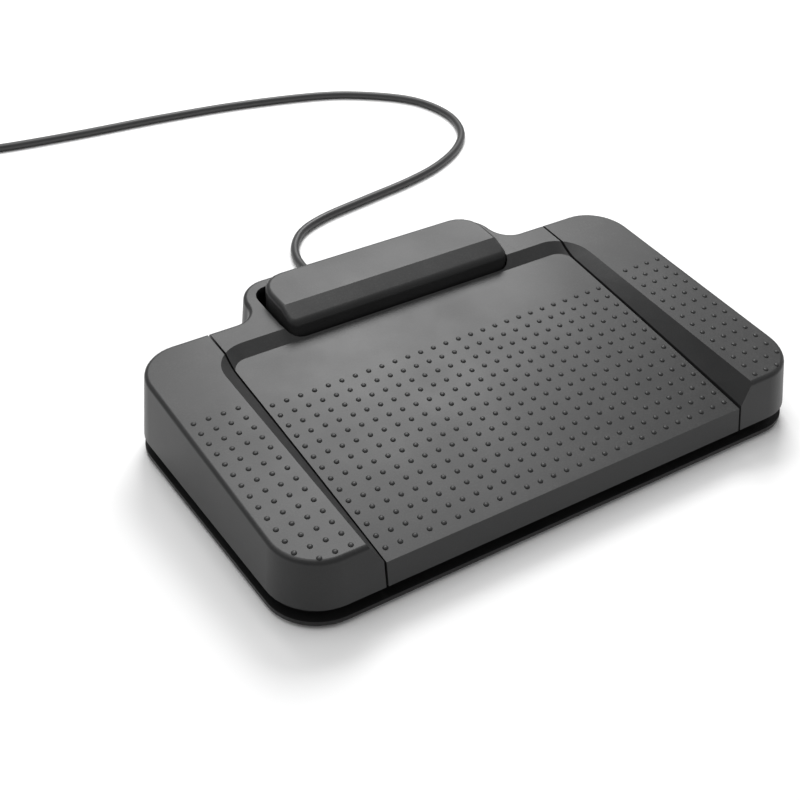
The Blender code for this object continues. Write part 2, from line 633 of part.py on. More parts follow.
def toe_bar():
    outside = round_edges(bar_form(0, BAR_SKIRT_BOTTOM), is_top_rim, BAR_EDGE_RADIUS)
    mesh = cut(outside, bar_form(BAR_WALL, BAR_SKIRT_BOTTOM - BEYOND / 2))
    top = BAR_RIDGE_HEIGHT - BAR_EMBED
    for x in (-TOE_EAR_X, TOE_EAR_X):
        low = (x - EAR_THICKNESS / 2, TOE_AXIS_Y - TOE_EAR_AROUND, TOE_AXIS_HEIGHT - TOE_EAR_AROUND)
        mesh = join(mesh, block(low, (x + EAR_THICKNESS / 2, BAR_REAR - BAR_EMBED, top)))
    seat = (0, TOE_MAGNET_Y, TOE_MAGNET_BOTTOM + MAGNET_HEIGHT + GAP)
    mesh = join(mesh, rod(seat, (0, TOE_MAGNET_Y, top), MAGNET_RADIUS + MAGNET_SEAT_WALL))
    reach = TOE_EAR_X + EAR_THICKNESS
    axis = [(side * reach, TOE_AXIS_Y, TOE_AXIS_HEIGHT) for side in (-1, 1)]
    mesh = cut(mesh, rod(axis[0], axis[1], TOE_SHAFT_RADIUS + HINGE_CLEARANCE))
    return node("toe_bar", mesh, CHARCOAL, TOE_AXIS, smooth=True)


# ---------------------------------------------------------------- base
def mat():
    return node("anti_slip_mat", prism(footprint(MAT_INSET), 0.0, MAT_THICKNESS), RUBBER)


SIDE_SEAT = under_band(SPRING_Y) - SPRING_SEAT_DROP
CENTRE_SEAT = under_plate(SPRING_Y - SPRING_RADIUS - SPRING_WIRE_RADIUS)
SPRING_PLACES = {
    "left_spring": (-SIDE_MIDDLE, SIDE_SEAT),
    "centre_spring_left": (-CENTRE_SPRING_X, CENTRE_SEAT),
    "centre_spring_right": (CENTRE_SPRING_X, CENTRE_SEAT),
    "right_spring": (SIDE_MIDDLE, SIDE_SEAT),
}
BUMPER_PLACES = {
    "left_bumper": (-SIDE_MIDDLE, under_band),
    "centre_bumper_left": (-CENTRE_SPRING_X, under_plate),
    "centre_bumper_right": (CENTRE_SPRING_X, under_plate),
    "right_bumper": (SIDE_MIDDLE, under_band),
}


def bumper_top(under):
    """Highest flat top that stays clear of the pressed pedal."""
    edge = BUMPER_Y - BUMPER_RADIUS
    return under(edge) - travel(edge) - GAP


def screw_hole(x, y, low_z, high_z):
    return rod((x, y, low_z), (x, y, high_z), SCREW_RADIUS + GAP, sides=12)


def standing_post(x, y, top, radius):
    """Round post on the tray's floor."""
    return rod((x, y, LIP_TOP - EMBED), (x, y, top), radius, sides=16)


def base_tray():
    chamfer = GAP * 2
    floor = loft(footprint(chamfer), BASE_BOTTOM, footprint(0.0), BASE_BOTTOM + chamfer)
    mesh = join(floor, prism(footprint(0.0), BASE_BOTTOM + GAP, LIP_TOP))
    wall = prism(tray_wall_outline(0.0), LIP_TOP - EMBED, TRAY_WALL_TOP)
    mesh = join(mesh, cut(wall, prism(tray_wall_outline(TRAY_WALL), 0.0, TRAY_WALL_TOP + BEYOND)))
    for x in POST_X:
        low = (x - POST_WIDTH / 2, HINGE_Y - POST_AHEAD, LIP_TOP - EMBED)
        mesh = join(mesh, block(low, (x + POST_WIDTH / 2, HINGE_Y + POST_BEHIND, POST_TOP)))
    slot = HINGE_SHAFT_RADIUS + GAP
    for x in POST_X:
        low_x, high_x = x - POST_WIDTH, x + POST_WIDTH
        seat = rod((low_x, HINGE_Y, HINGE_HEIGHT), (high_x, HINGE_Y, HINGE_HEIGHT), slot)
        mouth = block((low_x, HINGE_Y - slot, HINGE_HEIGHT), (high_x, HINGE_Y + slot, POST_TOP + BEYOND))
        bolt = screw_hole(x, HINGE_Y - KEEPER_SCREW_AHEAD, KEEPER_SCREW_TIP - GAP, POST_TOP + BEYOND)
        mesh = cut(mesh, seat, mouth, bolt)
    for x, _ in SPRING_PLACES.values():
        mesh = join(mesh, standing_post(x, SPRING_Y, LIP_TOP + PEG_HEIGHT, PEG_RADIUS))
    for x, under in BUMPER_PLACES.values():
        top = bumper_top(under) - BUMPER_HEIGHT - GAP
        mesh = join(mesh, standing_post(x, BUMPER_Y, top, BUMPER_RADIUS))
    for x, y in BOARD_RESTS:
        mesh = join(mesh, standing_post(x, y, BOARD_HEIGHT - GAP, SCREW_POST_RADIUS))
    for x, y, seat, radius in SCREW_POSTS:
        mesh = join(mesh, standing_post(x, y, seat, radius))
        mesh = cut(mesh, screw_hole(x, y, LIP_TOP + GAP, seat + BEYOND))
    return node("base_tray", cut(mesh, gland_hole(GAP)), BLACK)


SCREW_POSTS = [(x, y, BOARD_HEIGHT - GAP, SCREW_POST_RADIUS) for x, y in BOARD_SCREWS]
SCREW_POSTS += [(sign * CLAMP_X, CLAMP_Y, CLAMP_SEAT, SCREW_POST_RADIUS) for sign in (-1, 1)]
for x in (-BRACKET_SCREW_X, BRACKET_SCREW_X):
    SCREW_POSTS.append((x, BRACKET_FOOT_Y, BRACKET_SEAT, BRACKET_POST_RADIUS))
SCREW_TIP = LIP_TOP + 2 * GAP


def screw(name, x, y, seat, tip=SCREW_TIP):
    """Screw standing in a blind hole, its head on the seat; a cross is cut in the head."""
    under, top = seat + GAP, seat + GAP + SCREW_HEAD
    shank = rod((x, y, tip), (x, y, under + GAP), SCREW_RADIUS, sides=12)
    mesh = join(shank, rod((x, y, under), (x, y, top), SCREW_HEAD_RADIUS, SCREW_HEAD_TOP_RADIUS, sides=16))
    long, short = CROSS_HALF_LENGTH, CROSS_HALF_WIDTH
    for half_x, half_y in ((long, short), (short, long)):
        low = (x - half_x, y - half_y, top - CROSS_DEPTH)
        mesh = cut(mesh, block(low, (x + half_x, y + half_y, top + MM)))
    return node(name, mesh, STEEL)


def hinge_keepers():
    """Four small plates that close the open slots over the hinge shaft."""
    low_z = POST_TOP + GAP
    high_z = low_z + KEEPER_THICKNESS
    for count, x in enumerate(POST_X, 1):
        low = (x - POST_WIDTH / 2, HINGE_Y - POST_AHEAD, low_z)
        plate = block(low, (x + POST_WIDTH / 2, HINGE_Y + POST_BEHIND, high_z))
        y = HINGE_Y - KEEPER_SCREW_AHEAD
        plate = cut(plate, screw_hole(x, y, POST_TOP, high_z + MM))
        node(f"shaft_keeper_{count}", plate, BLACK)
        screw(f"keeper_screw_{count}", x, y, high_z, KEEPER_SCREW_TIP)


def toe_bracket():
    """Bridge that carries the toe bar's shaft, spring seats and sensor over the cable."""
    plate_low = BRACKET_TOP - BRACKET_PLATE
    mesh = block((-BRACKET_HALF, BAR_FRONT + BRACKET_FRONT_GAP, plate_low),
                 (BRACKET_HALF, BAR_REAR - BRACKET_REAR_GAP, BRACKET_TOP))
    leg_front, leg_rear = BRACKET_FOOT_Y - BRACKET_LEG_HALF_DEPTH, BRACKET_FOOT_Y + BRACKET_LEG_HALF_DEPTH
    foot_low = BRACKET_SEAT + GAP
    foot_high = foot_low + BRACKET_PLATE
    upright_x = TOE_EAR_X - EAR_THICKNESS / 2 - UPRIGHT_CLEARANCE
    for sign in (-1, 1):
        low_x, high_x = sorted((sign * BRACKET_HALF, sign * (BRACKET_HALF - BRACKET_LEG)))
        leg = block((low_x, leg_front, foot_low), (high_x, leg_rear, BRACKET_TOP - EMBED))
        low_x, high_x = sorted((sign * (BRACKET_HALF - EMBED), sign * (BRACKET_HALF - BRACKET_TOE)))
        foot = block((low_x, leg_front + EMBED, foot_low), (high_x, leg_rear - EMBED, foot_high))
        low_x, high_x = sorted((sign * upright_x, sign * (upright_x - UPRIGHT_THICKNESS)))
        upright = block((low_x, TOE_AXIS_Y - UPRIGHT_FRONT, BRACKET_TOP - EMBED),
                        (high_x, TOE_AXIS_Y + UPRIGHT_REAR, TOE_AXIS_HEIGHT + UPRIGHT_OVER_AXIS))
        mesh = join(mesh, leg, foot, upright)
        mesh = cut(mesh, screw_hole(sign * BRACKET_SCREW_X, BRACKET_FOOT_Y, BRACKET_SEAT, foot_high + MM))
        x = sign * TOE_SPRING_X
        peg_top = BRACKET_TOP + TOE_PEG_HEIGHT
        mesh = join(mesh, rod((x, TOE_SPRING_Y, BRACKET_TOP - EMBED), (x, TOE_SPRING_Y, peg_top),
                              PEG_RADIUS, sides=16))
    axis = [(side * BRACKET_HALF, TOE_AXIS_Y, TOE_AXIS_HEIGHT) for side in (-1, 1)]
    mesh = cut(mesh, rod(axis[0], axis[1], TOE_SHAFT_RADIUS + HINGE_CLEARANCE))
    node("toe_bar_bracket", mesh, BLACK)
    for count, sign in enumerate((-1, 1), 1):
        screw(f"bracket_screw_{count}", sign * BRACKET_SCREW_X, BRACKET_FOOT_Y, foot_high)
    reach = TOE_EAR_X + EAR_THICKNESS
    axis = [(side * reach, TOE_AXIS_Y, TOE_AXIS_HEIGHT) for side in (-1, 1)]
    node("toe_bar_shaft", rod(axis[0], axis[1], TOE_SHAFT_RADIUS), STEEL, smooth=True)


def curve_tube(name, points, radius, look, resolution=2):
    """Round tube with capped ends along a polyline."""
    curve = bpy.data.curves.new(name, "CURVE")
    curve.dimensions = "3D"
    curve.bevel_depth = radius
    curve.bevel_resolution = resolution
    curve.use_fill_caps = True
    spline = curve.splines.new("POLY")
    spline.points.add(len(points) - 1)
    for point, place in zip(spline.points, points):
        point.co = (*place, 1.0)
    made = bpy.data.objects.new(name, curve)
    foot_control.objects.link(made)
    curve.materials.append(look)
    return made


def coil_spring(name, x, y, low, high):
    """Compression spring with its wire's ends at the two seats."""
    per_turn = 12
    steps = SPRING_TURNS * per_turn
    low_z, high_z = low + SPRING_WIRE_RADIUS + GAP, high - SPRING_WIRE_RADIUS - GAP
    points = []
    for step in range(steps + 1):
        turn = 2 * math.pi * step / per_turn
        z = low_z + (high_z - low_z) * step / steps
        points.append((x + SPRING_RADIUS * math.cos(turn), y + SPRING_RADIUS * math.sin(turn), z))
    curve_tube(name, points, SPRING_WIRE_RADIUS, STEEL)


def springs():
    for name, (x, seat) in SPRING_PLACES.items():
        coil_spring(name, x, SPRING_Y, LIP_TOP, seat)
    under_bar = BAR_RIDGE_HEIGHT - BAR_WALL - 4 * GAP
    for side, sign in (("left", -1), ("right", 1)):
        coil_spring(f"toe_spring_{side}", sign * TOE_SPRING_X, TOE_SPRING_Y, BRACKET_TOP, under_bar)


def bumpers():
    for name, (x, under) in BUMPER_PLACES.items():
        top = bumper_top(under)
        pad = rod((x, BUMPER_Y, top - BUMPER_HEIGHT), (x, BUMPER_Y, top), BUMPER_RADIUS, sides=20)
        node(name, pad, RUBBER)


def hinge_shaft():
    ends = [(side * SHAFT_HALF_LENGTH, HINGE_Y, HINGE_HEIGHT) for side in (-1, 1)]
    node("hinge_shaft", rod(ends[0], ends[1], HINGE_SHAFT_RADIUS), STEEL, smooth=True)


def on_board(name, size, x, y, low_z, look):
    """Small block standing on a board."""
    half_x, half_y = size[0] / 2, size[1] / 2
    node(name, block((x - half_x, y - half_y, low_z), (x + half_x, y + half_y, low_z + size[2])), look)


def magnet(name, x, y, low_z, axis):
    """Button magnet under a pedal or the bar; it turns with it."""
    disc = rod((x, y, low_z), (x, y, low_z + MAGNET_HEIGHT), MAGNET_RADIUS)
    node(name, disc, MAGNET, axis, smooth=True)


def electronics():
    half_y = BOARD_DEPTH / 2
    top = BOARD_HEIGHT + BOARD_THICKNESS
    board = block((-BOARD_HALF, BOARD_Y - half_y, BOARD_HEIGHT), (BOARD_HALF, BOARD_Y + half_y, top))
    for x, y in BOARD_SCREWS:
        board = cut(board, screw_hole(x, y, BOARD_HEIGHT - MM, top + MM))
    node("circuit_board", board, BOARD)
    for count, (x, y) in enumerate(BOARD_SCREWS, 1):
        screw(f"board_screw_{count}", x, y, top)
    for side, x in (("left", -SIDE_MIDDLE), ("centre", 0.0), ("right", SIDE_MIDDLE)):
        on_board(f"hall_sensor_{side}", SENSOR_SIZE, x, BOARD_Y, top + GAP, CHIP)
        magnet(f"magnet_{side}", x, BOARD_Y, MAGNET_BOTTOM, PEDAL_AXIS)
    on_board("controller_chip", CHIP_SIZE, CHIP_X, BOARD_Y, top + GAP, CHIP)
    socket_y = BOARD_Y + half_y + SOCKET_PAST_BOARD - SOCKET_SIZE[1] / 2
    on_board("cable_socket", SOCKET_SIZE, 0.0, socket_y, top + GAP, CORD_JACKET)
    half_x, half_y = TOE_BOARD_HALF
    small_size = (2 * half_x, 2 * half_y, BOARD_THICKNESS)
    on_board("toe_sensor_board", small_size, 0.0, TOE_MAGNET_Y, BRACKET_TOP + GAP, BOARD)
    sensor_low = BRACKET_TOP + 2 * GAP + BOARD_THICKNESS
    on_board("hall_sensor_toe_bar", SENSOR_SIZE, 0.0, TOE_MAGNET_Y, sensor_low, CHIP)
    magnet("magnet_toe_bar", 0.0, TOE_MAGNET_Y, TOE_MAGNET_BOTTOM, TOE_AXIS)


def ballast():
    """Steel plate that keeps the control from sliding under the foot."""
    half = CENTRE_SPRING_X - BALLAST_FROM_SPRING
    low_z = LIP_TOP + GAP
    behind = BOARD_Y - BOARD_DEPTH / 2 - BALLAST_FROM_BOARD
    plate = block((-half, FRONT + BALLAST_FROM_FRONT, low_z), (half, behind, low_z + BALLAST_THICKNESS))
    node("ballast_plate", plate, STEEL)


# ---------------------------------------------------------------- cord and what is on it
def smooth_route(route, spacing):
    """Points a set distance apart on a smooth curve through the route's own points."""
    knots = [Vector(p) for p in route]
    padded = [2 * knots[0] - knots[1]] + knots + [2 * knots[-1] - knots[-2]]
    fine = []
    for a, b, c, d in zip(padded, padded[1:], padded[2:], padded[3:]):
        for step in range(24):
            t = step / 24
            fine.append(0.5 * (2 * b + (c - a) * t + (2 * a - 5 * b + 4 * c - d) * t ** 2
                               + (3 * b - a - 3 * c + d) * t ** 3))
    fine.append(knots[-1])
    length = sum((q - p).length for p, q in zip(fine, fine[1:]))
    count = max(2, round(length / spacing))
    picked, gone, target = [fine[0]], 0.0, length / count
    for p, q in zip(fine, fine[1:]):
        gone += (q - p).length
        if gone >= target * len(picked) and len(picked) < count:
            picked.append(q)
    return picked + [fine[-1]]


GLAND_TIP = HUMP_REAR + GLAND_LENGTH
LIES = CORD_RADIUS + PLUG_LIFT       # height of the cord's middle on the floor
COIL_CENTRE = (-0.120, 0.275)
COIL_STRAND = 2 * CORD_RADIUS
COIL_HALF_WIDTH = COIL_COLUMNS * COIL_STRAND / 2
COIL_HALF_HEIGHT = COIL_ROWS * COIL_STRAND / 2
COIL_BOTTOM = TIE_THICKNESS + GAP
COIL_OUTER = COIL_MID_RADIUS + COIL_HALF_WIDTH
COIL_STRAND_RADIUS = COIL_OUTER - CORD_RADIUS
CORD_ROUTE = [
    (0.0000, GLAND_TIP + GAP, GLAND_HEIGHT), (0.0000, 0.0995, 0.0060), (0.0007, 0.1085, 0.0034),
    (0.0020, 0.1180, LIES), (0.0036, 0.1262, LIES), (0.0083, 0.1355, LIES), (0.0175, 0.1445, LIES),
    (0.0328, 0.1505, LIES), (0.0581, 0.1550, LIES), (0.0847, 0.1595, LIES), (0.1060, 0.1658, LIES),
    (0.1250, 0.1765, LIES), (0.1382, 0.1910, LIES), (0.1436, 0.2110, LIES), (0.1378, 0.2335, LIES),
    (0.1200, 0.2515, LIES), (0.0965, 0.2645, LIES), (0.0545, 0.2757, LIES), (0.0118, 0.2820, LIES),
    (-0.0309, 0.2860, LIES), (-0.0690, 0.2912, LIES), (-0.0880, 0.2965, 0.0024),
    (COIL_CENTRE[0] + 0.0168, COIL_CENTRE[1] + COIL_STRAND_RADIUS - 0.0006, COIL_BOTTOM + CORD_RADIUS),
]
TAIL_X = COIL_CENTRE[0] - COIL_STRAND_RADIUS
PLUG_REAR = COIL_CENTRE[1] - 0.038
PLUG_HEIGHT = PLUG_BODY[2] / 2 + PLUG_LIFT
GLAND_INNER = HUMP_REAR - SHELL_WALL - TRAY_SIDE_CLEARANCE - TRAY_WALL - GAP
TAIL_ROUTE = [
    (TAIL_X, COIL_CENTRE[1] - 0.0160, COIL_BOTTOM + CORD_RADIUS),
    (TAIL_X - 0.0002, COIL_CENTRE[1] - 0.0220, 0.0033),
    (TAIL_X - 0.0002, PLUG_REAR + 0.0070, 0.0038), (TAIL_X, PLUG_REAR + GAP, PLUG_HEIGHT),
]


def strain_relief():
    """Moulded sleeve: a collar inside the wall, a neck through it and a tapered, ribbed tail."""
    collar = GLAND_INNER - GLAND_COLLAR_LENGTH
    stations = [
        (collar, GLAND_COLLAR_RADIUS), (GLAND_INNER, GLAND_COLLAR_RADIUS), (GLAND_INNER, GLAND_RADIUS),
        (HUMP_REAR + GLAND_RADIUS / 2, GLAND_RADIUS), (GLAND_TIP, GLAND_TIP_RADIUS),
    ]
    mesh = bmesh.new()
    profile = [mesh.verts.new((0, stations[0][0], GLAND_HEIGHT))]
    profile += [mesh.verts.new((radius, y, GLAND_HEIGHT)) for y, radius in stations]
    profile += [mesh.verts.new((0, GLAND_TIP, GLAND_HEIGHT))]
    line = [mesh.edges.new(pair) for pair in zip(profile, profile[1:])]
    bmesh.ops.spin(mesh, geom=profile + line, cent=(0, 0, GLAND_HEIGHT), axis=(0, 1, 0),
                   angle=2 * math.pi, steps=20, use_merge=True)
    bmesh.ops.remove_doubles(mesh, verts=mesh.verts, dist=1e-7)
    bmesh.ops.recalc_face_normals(mesh, faces=mesh.faces)
    return node("strain_relief", mesh, RUBBER, smooth=True)


def cable_inside():
    """The jacket's last stretch, from the strain relief to its socket on the board."""
    start = GLAND_INNER - GLAND_COLLAR_LENGTH - GAP
    end = BOARD_Y + BOARD_DEPTH / 2 + SOCKET_PAST_BOARD + GAP
    height = BOARD_HEIGHT + BOARD_THICKNESS + SOCKET_SIZE[2] / 2
    step = 8 * MM
    route = [(0, start, GLAND_HEIGHT), (0, CLAMP_Y, GLAND_HEIGHT), (0, HINGE_Y + step, CABLE_INSIDE_HEIGHT),
             (0, HINGE_Y, CABLE_INSIDE_HEIGHT), (0, HINGE_Y - step, CABLE_INSIDE_HEIGHT + GAP),
             (0, end + step, height - 2 * GAP), (0, end, height)]
    curve_tube("cable_inside", smooth_route(route, 3 * CORD_RADIUS), CORD_RADIUS, CORD_JACKET)
    low_z = CLAMP_SEAT + GAP
    high_z = low_z + CLAMP_THICKNESS
    half = CLAMP_X + CLAMP_END
    clamp = block((-half, CLAMP_Y - CLAMP_HALF_DEPTH, low_z), (half, CLAMP_Y + CLAMP_HALF_DEPTH, high_z))
    for count, x in enumerate((-CLAMP_X, CLAMP_X), 1):
        clamp = cut(clamp, screw_hole(x, CLAMP_Y, CLAMP_SEAT, high_z + MM))
        screw(f"clamp_screw_{count}", x, CLAMP_Y, high_z)
    node("cable_clamp", clamp, BLACK)


def cord_coil():
    """Outer shape of the wound cord: a ring of rounded section."""
    x, y = COIL_CENTRE
    corner = CORD_RADIUS
    middle = COIL_BOTTOM + COIL_HALF_HEIGHT
    mesh = bmesh.new()
    section = []
    for centre_r, centre_z, start in ((1, 1, 0), (-1, 1, 90), (-1, -1, 180), (1, -1, 270)):
        radius = COIL_MID_RADIUS + centre_r * (COIL_HALF_WIDTH - corner)
        height = middle + centre_z * (COIL_HALF_HEIGHT - corner)
        section += arc(radius, height, corner, start, start + 90, 2)
    ring = [mesh.verts.new((r, 0, z)) for r, z in section]
    line = [mesh.edges.new((ring[i], ring[(i + 1) % len(ring)])) for i in range(len(ring))]
    bmesh.ops.spin(mesh, geom=ring + line, cent=(0, 0, 0), axis=(0, 0, 1), angle=2 * math.pi,
                   steps=40, use_merge=True)
    bmesh.ops.remove_doubles(mesh, verts=mesh.verts, dist=1e-7)
    bmesh.ops.recalc_face_normals(mesh, faces=mesh.faces)
    bmesh.ops.translate(mesh, vec=(x, y, 0), verts=mesh.verts)
    return node("cord_coil", mesh, CORD_JACKET, smooth=True)


def coil_tie(name, angle):
    """Flat loop closed round the coil's section; the coil rests on it."""
    half = COIL_HALF_WIDTH + GAP
    low, high = COIL_MID_RADIUS - half, COIL_MID_RADIUS + half
    roof = COIL_BOTTOM + 2 * COIL_HALF_HEIGHT + GAP
    outer = block((low - TIE_THICKNESS, -TIE_WIDTH / 2, 0.0),
                  (high + TIE_THICKNESS, TIE_WIDTH / 2, roof + TIE_THICKNESS))
    mesh = cut(outer, block((low, -TIE_WIDTH, TIE_THICKNESS), (high, TIE_WIDTH, roof)))
    turn = Vector((1, 0, 0)).rotation_difference(Vector((math.cos(angle), math.sin(angle), 0))).to_matrix()
    bmesh.ops.rotate(mesh, cent=(0, 0, 0), matrix=turn, verts=mesh.verts)
    bmesh.ops.translate(mesh, vec=(*COIL_CENTRE, 0), verts=mesh.verts)
    return node(name, mesh, BLACK)


def usb_plug():
    """Moulded grip and the metal mouth with its contact tongue in the upper half."""
    width, length, height = PLUG_BODY
    low = (TAIL_X - width / 2, PLUG_REAR - length, PLUG_LIFT)
    body = block(low, (TAIL_X + width / 2, PLUG_REAR, PLUG_LIFT + height))
    body = round_edges(body, lambda edge: True, PLUG_EDGE_RADIUS, 2)
    node("plug_body", body, RUBBER, smooth=True)
    wide, deep, thick = PLUG_SHELL
    front = PLUG_REAR - length - GAP
    shell = block((TAIL_X - wide / 2, front - deep, PLUG_HEIGHT - thick / 2),
                  (TAIL_X + wide / 2, front, PLUG_HEIGHT + thick / 2))
    half = wide / 2 - PLUG_SHELL_WALL
    hollow = block((TAIL_X - half, front - deep - MM, PLUG_HEIGHT - thick / 2 + PLUG_SHELL_WALL),
                   (TAIL_X + half, front - PLUG_TONGUE_DEPTH, PLUG_HEIGHT))
    node("plug_shell", cut(shell, hollow), STEEL)


def cord():
    curve_tube("cord", smooth_route(CORD_ROUTE, 2.2 * 2 * CORD_RADIUS), CORD_RADIUS, CORD_JACKET)
    curve_tube("cord_tail", smooth_route(TAIL_ROUTE, 2 * 2 * CORD_RADIUS), CORD_RADIUS, CORD_JACKET)


# ---------------------------------------------------------------- the assembly
mat()
base_tray()
ballast()
hinge_shaft()
hinge_keepers()
side_pedal("left_pedal", -1)
centre_pedal()
side_pedal("right_pedal", 1)
toe_bar()
toe_bracket()
springs()
bumpers()
electronics()
strain_relief()
cable_inside()
cord()
cord_coil()
for tie_name, place in TIE_PLACES.items():
    coil_tie(tie_name, math.radians(place))
usb_plug()
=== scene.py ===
# %% [markdown]
# # A foot control for dictation, finished in Blender
#
# The control is a low, weighted box with three rocking pedals and a toe bar. A typist rests a foot
# on it: the big studded plate plays, the side pedals wind, the bar on the hump is pressed with the toe.
# The solid model already fixes every size, so this lesson only dresses it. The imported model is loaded
# first, and its box is kept, because nothing added later may grow past it.

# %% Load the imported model
import json
import math

import bmesh
import bpy
from mathutils import Matrix, Vector
from mathutils.bvhtree import BVHTree


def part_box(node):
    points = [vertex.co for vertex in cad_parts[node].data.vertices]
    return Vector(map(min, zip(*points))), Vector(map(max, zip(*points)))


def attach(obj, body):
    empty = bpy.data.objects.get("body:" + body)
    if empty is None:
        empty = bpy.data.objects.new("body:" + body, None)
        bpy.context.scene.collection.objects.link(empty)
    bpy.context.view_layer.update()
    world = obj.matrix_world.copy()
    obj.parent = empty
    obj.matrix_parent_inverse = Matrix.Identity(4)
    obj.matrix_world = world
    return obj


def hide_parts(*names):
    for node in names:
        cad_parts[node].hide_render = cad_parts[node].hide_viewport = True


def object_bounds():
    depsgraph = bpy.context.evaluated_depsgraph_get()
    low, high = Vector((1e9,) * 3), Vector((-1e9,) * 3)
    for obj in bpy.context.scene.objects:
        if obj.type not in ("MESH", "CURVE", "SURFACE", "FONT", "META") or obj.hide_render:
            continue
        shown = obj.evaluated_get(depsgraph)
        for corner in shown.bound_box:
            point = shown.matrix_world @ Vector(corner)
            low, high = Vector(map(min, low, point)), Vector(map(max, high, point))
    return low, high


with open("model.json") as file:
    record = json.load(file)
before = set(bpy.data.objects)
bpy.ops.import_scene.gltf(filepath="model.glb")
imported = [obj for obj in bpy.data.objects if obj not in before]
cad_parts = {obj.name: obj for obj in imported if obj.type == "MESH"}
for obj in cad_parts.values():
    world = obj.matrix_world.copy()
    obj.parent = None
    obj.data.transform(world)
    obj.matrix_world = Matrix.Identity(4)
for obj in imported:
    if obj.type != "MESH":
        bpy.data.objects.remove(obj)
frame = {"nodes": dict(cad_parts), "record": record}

MM = 0.001
cad_box = [list(corner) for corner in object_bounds()]
print("solid model's box, mm:", [[round(value / MM, 1) for value in corner] for corner in cad_box])

# %% [markdown]
# ## The camera
#
# A product is judged from one main view, so the camera is settled before anything is made. It looks
# down from the left front corner. A track rotation points its axis at a spot on the floor, and a turn
# about that axis tips it by the small angle that a hand-held camera has.

# %% Aim the camera
EYE = Vector((-254.0, -334.6, 321.1)) * MM
AIM = Vector((-13.3, 17.2, 0.0)) * MM
LENS = 62.5
TIP = math.radians(1.84)

lens = bpy.data.cameras.new("camera")
lens.lens = LENS
lens.clip_start = 0.01
camera = bpy.data.objects.new("camera", lens)
bpy.context.scene.collection.objects.link(camera)
look = (AIM - EYE).to_track_quat("-Z", "Y").to_matrix().to_4x4()
camera.matrix_world = Matrix.Translation(EYE) @ look @ Matrix.Rotation(TIP, 4, "Z")
bpy.context.scene.camera = camera
print("camera stands", round((AIM - EYE).length, 3), "m from its aim")

# %% [markdown]
# ## Small helpers
#
# Most pieces end in the same way: a bmesh is written to a mesh, gets a material and rides on a body of
# the solid model. One function does that. Edges sharper than a set angle stay crisp, and the rest
# shade smoothly, which is how a moulded part with small edge roundings looks.

# %% Finish a bmesh as a piece
CRISP = math.radians(38)


def finish_piece(name, shape, material, body, weighted=False):
    """Turn a bmesh into an object at the origin that rides on a body."""
    mesh = bpy.data.meshes.new(name)
    shape.to_mesh(mesh)
    shape.free()
    mesh.materials.append(material)
    mesh.shade_smooth()
    mesh.set_sharp_from_angle(angle=CRISP)
    piece = bpy.data.objects.new(name, mesh)
    bpy.context.scene.collection.objects.link(piece)
    if weighted:
        even = piece.modifiers.new("even_faces", "WEIGHTED_NORMAL")
        even.keep_sharp = True
        even.weight = 100
    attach(piece, body)
    print(name, len(mesh.polygons), "faces on", body)
    return piece


# %% [markdown]
# ## Shared surface effects
#
# Moulded plastic is never one flat colour. The mould's spark-eroded skin gives a fine grain, the
# colour drifts a little from place to place, and hands and shoes leave faint dust. These effects are
# wanted in several materials, so each is a node group with named sockets, and a material sets its
# own values. They read Object coordinates, which stay put on a piece wherever it turns.

# %% A builder for node groups
def new_group(name, inputs, outputs):
    """An empty node group with sockets; returns its tree, its input node and its output node."""
    tree = bpy.data.node_groups.new(name, "ShaderNodeTree")
    for socket_name, kind, value in inputs:
        made = tree.interface.new_socket(name=socket_name, in_out="INPUT", socket_type=kind)
        made.default_value = value
    for socket_name, kind in outputs:
        tree.interface.new_socket(name=socket_name, in_out="OUTPUT", socket_type=kind)
    return tree, tree.nodes.new("NodeGroupInput"), tree.nodes.new("NodeGroupOutput")


def math_node(tree, operation, first, second):
    """A Math node; each operand is a socket or a number."""
    made = tree.nodes.new("ShaderNodeMath")
    made.operation = operation
    for slot_number, value in enumerate((first, second)):
        if isinstance(value, (int, float)):
            made.inputs[slot_number].default_value = value
        else:
            tree.links.new(value, made.inputs[slot_number])
    return made.outputs[0]


def noise_node(tree, coordinates, scale, detail, roughness=0.5):
    made = tree.nodes.new("ShaderNodeTexNoise")
    made.inputs["Detail"].default_value = detail
    made.inputs["Roughness"].default_value = roughness
    tree.links.new(coordinates, made.inputs["Vector"])
    if isinstance(scale, (int, float)):
        made.inputs["Scale"].default_value = scale
    else:
        tree.links.new(scale, made.inputs["Scale"])
    return made.outputs["Fac"]


def spread(tree, value, low, high, to_low, to_high):
    """Map a range of a mask to another range, without going past its ends."""
    made = tree.nodes.new("ShaderNodeMapRange")
    made.inputs["From Min"].default_value = low
    made.inputs["From Max"].default_value = high
    made.inputs["To Min"].default_value = to_low
    made.inputs["To Max"].default_value = to_high
    tree.links.new(value, made.inputs["Value"])
    return made.outputs["Result"]


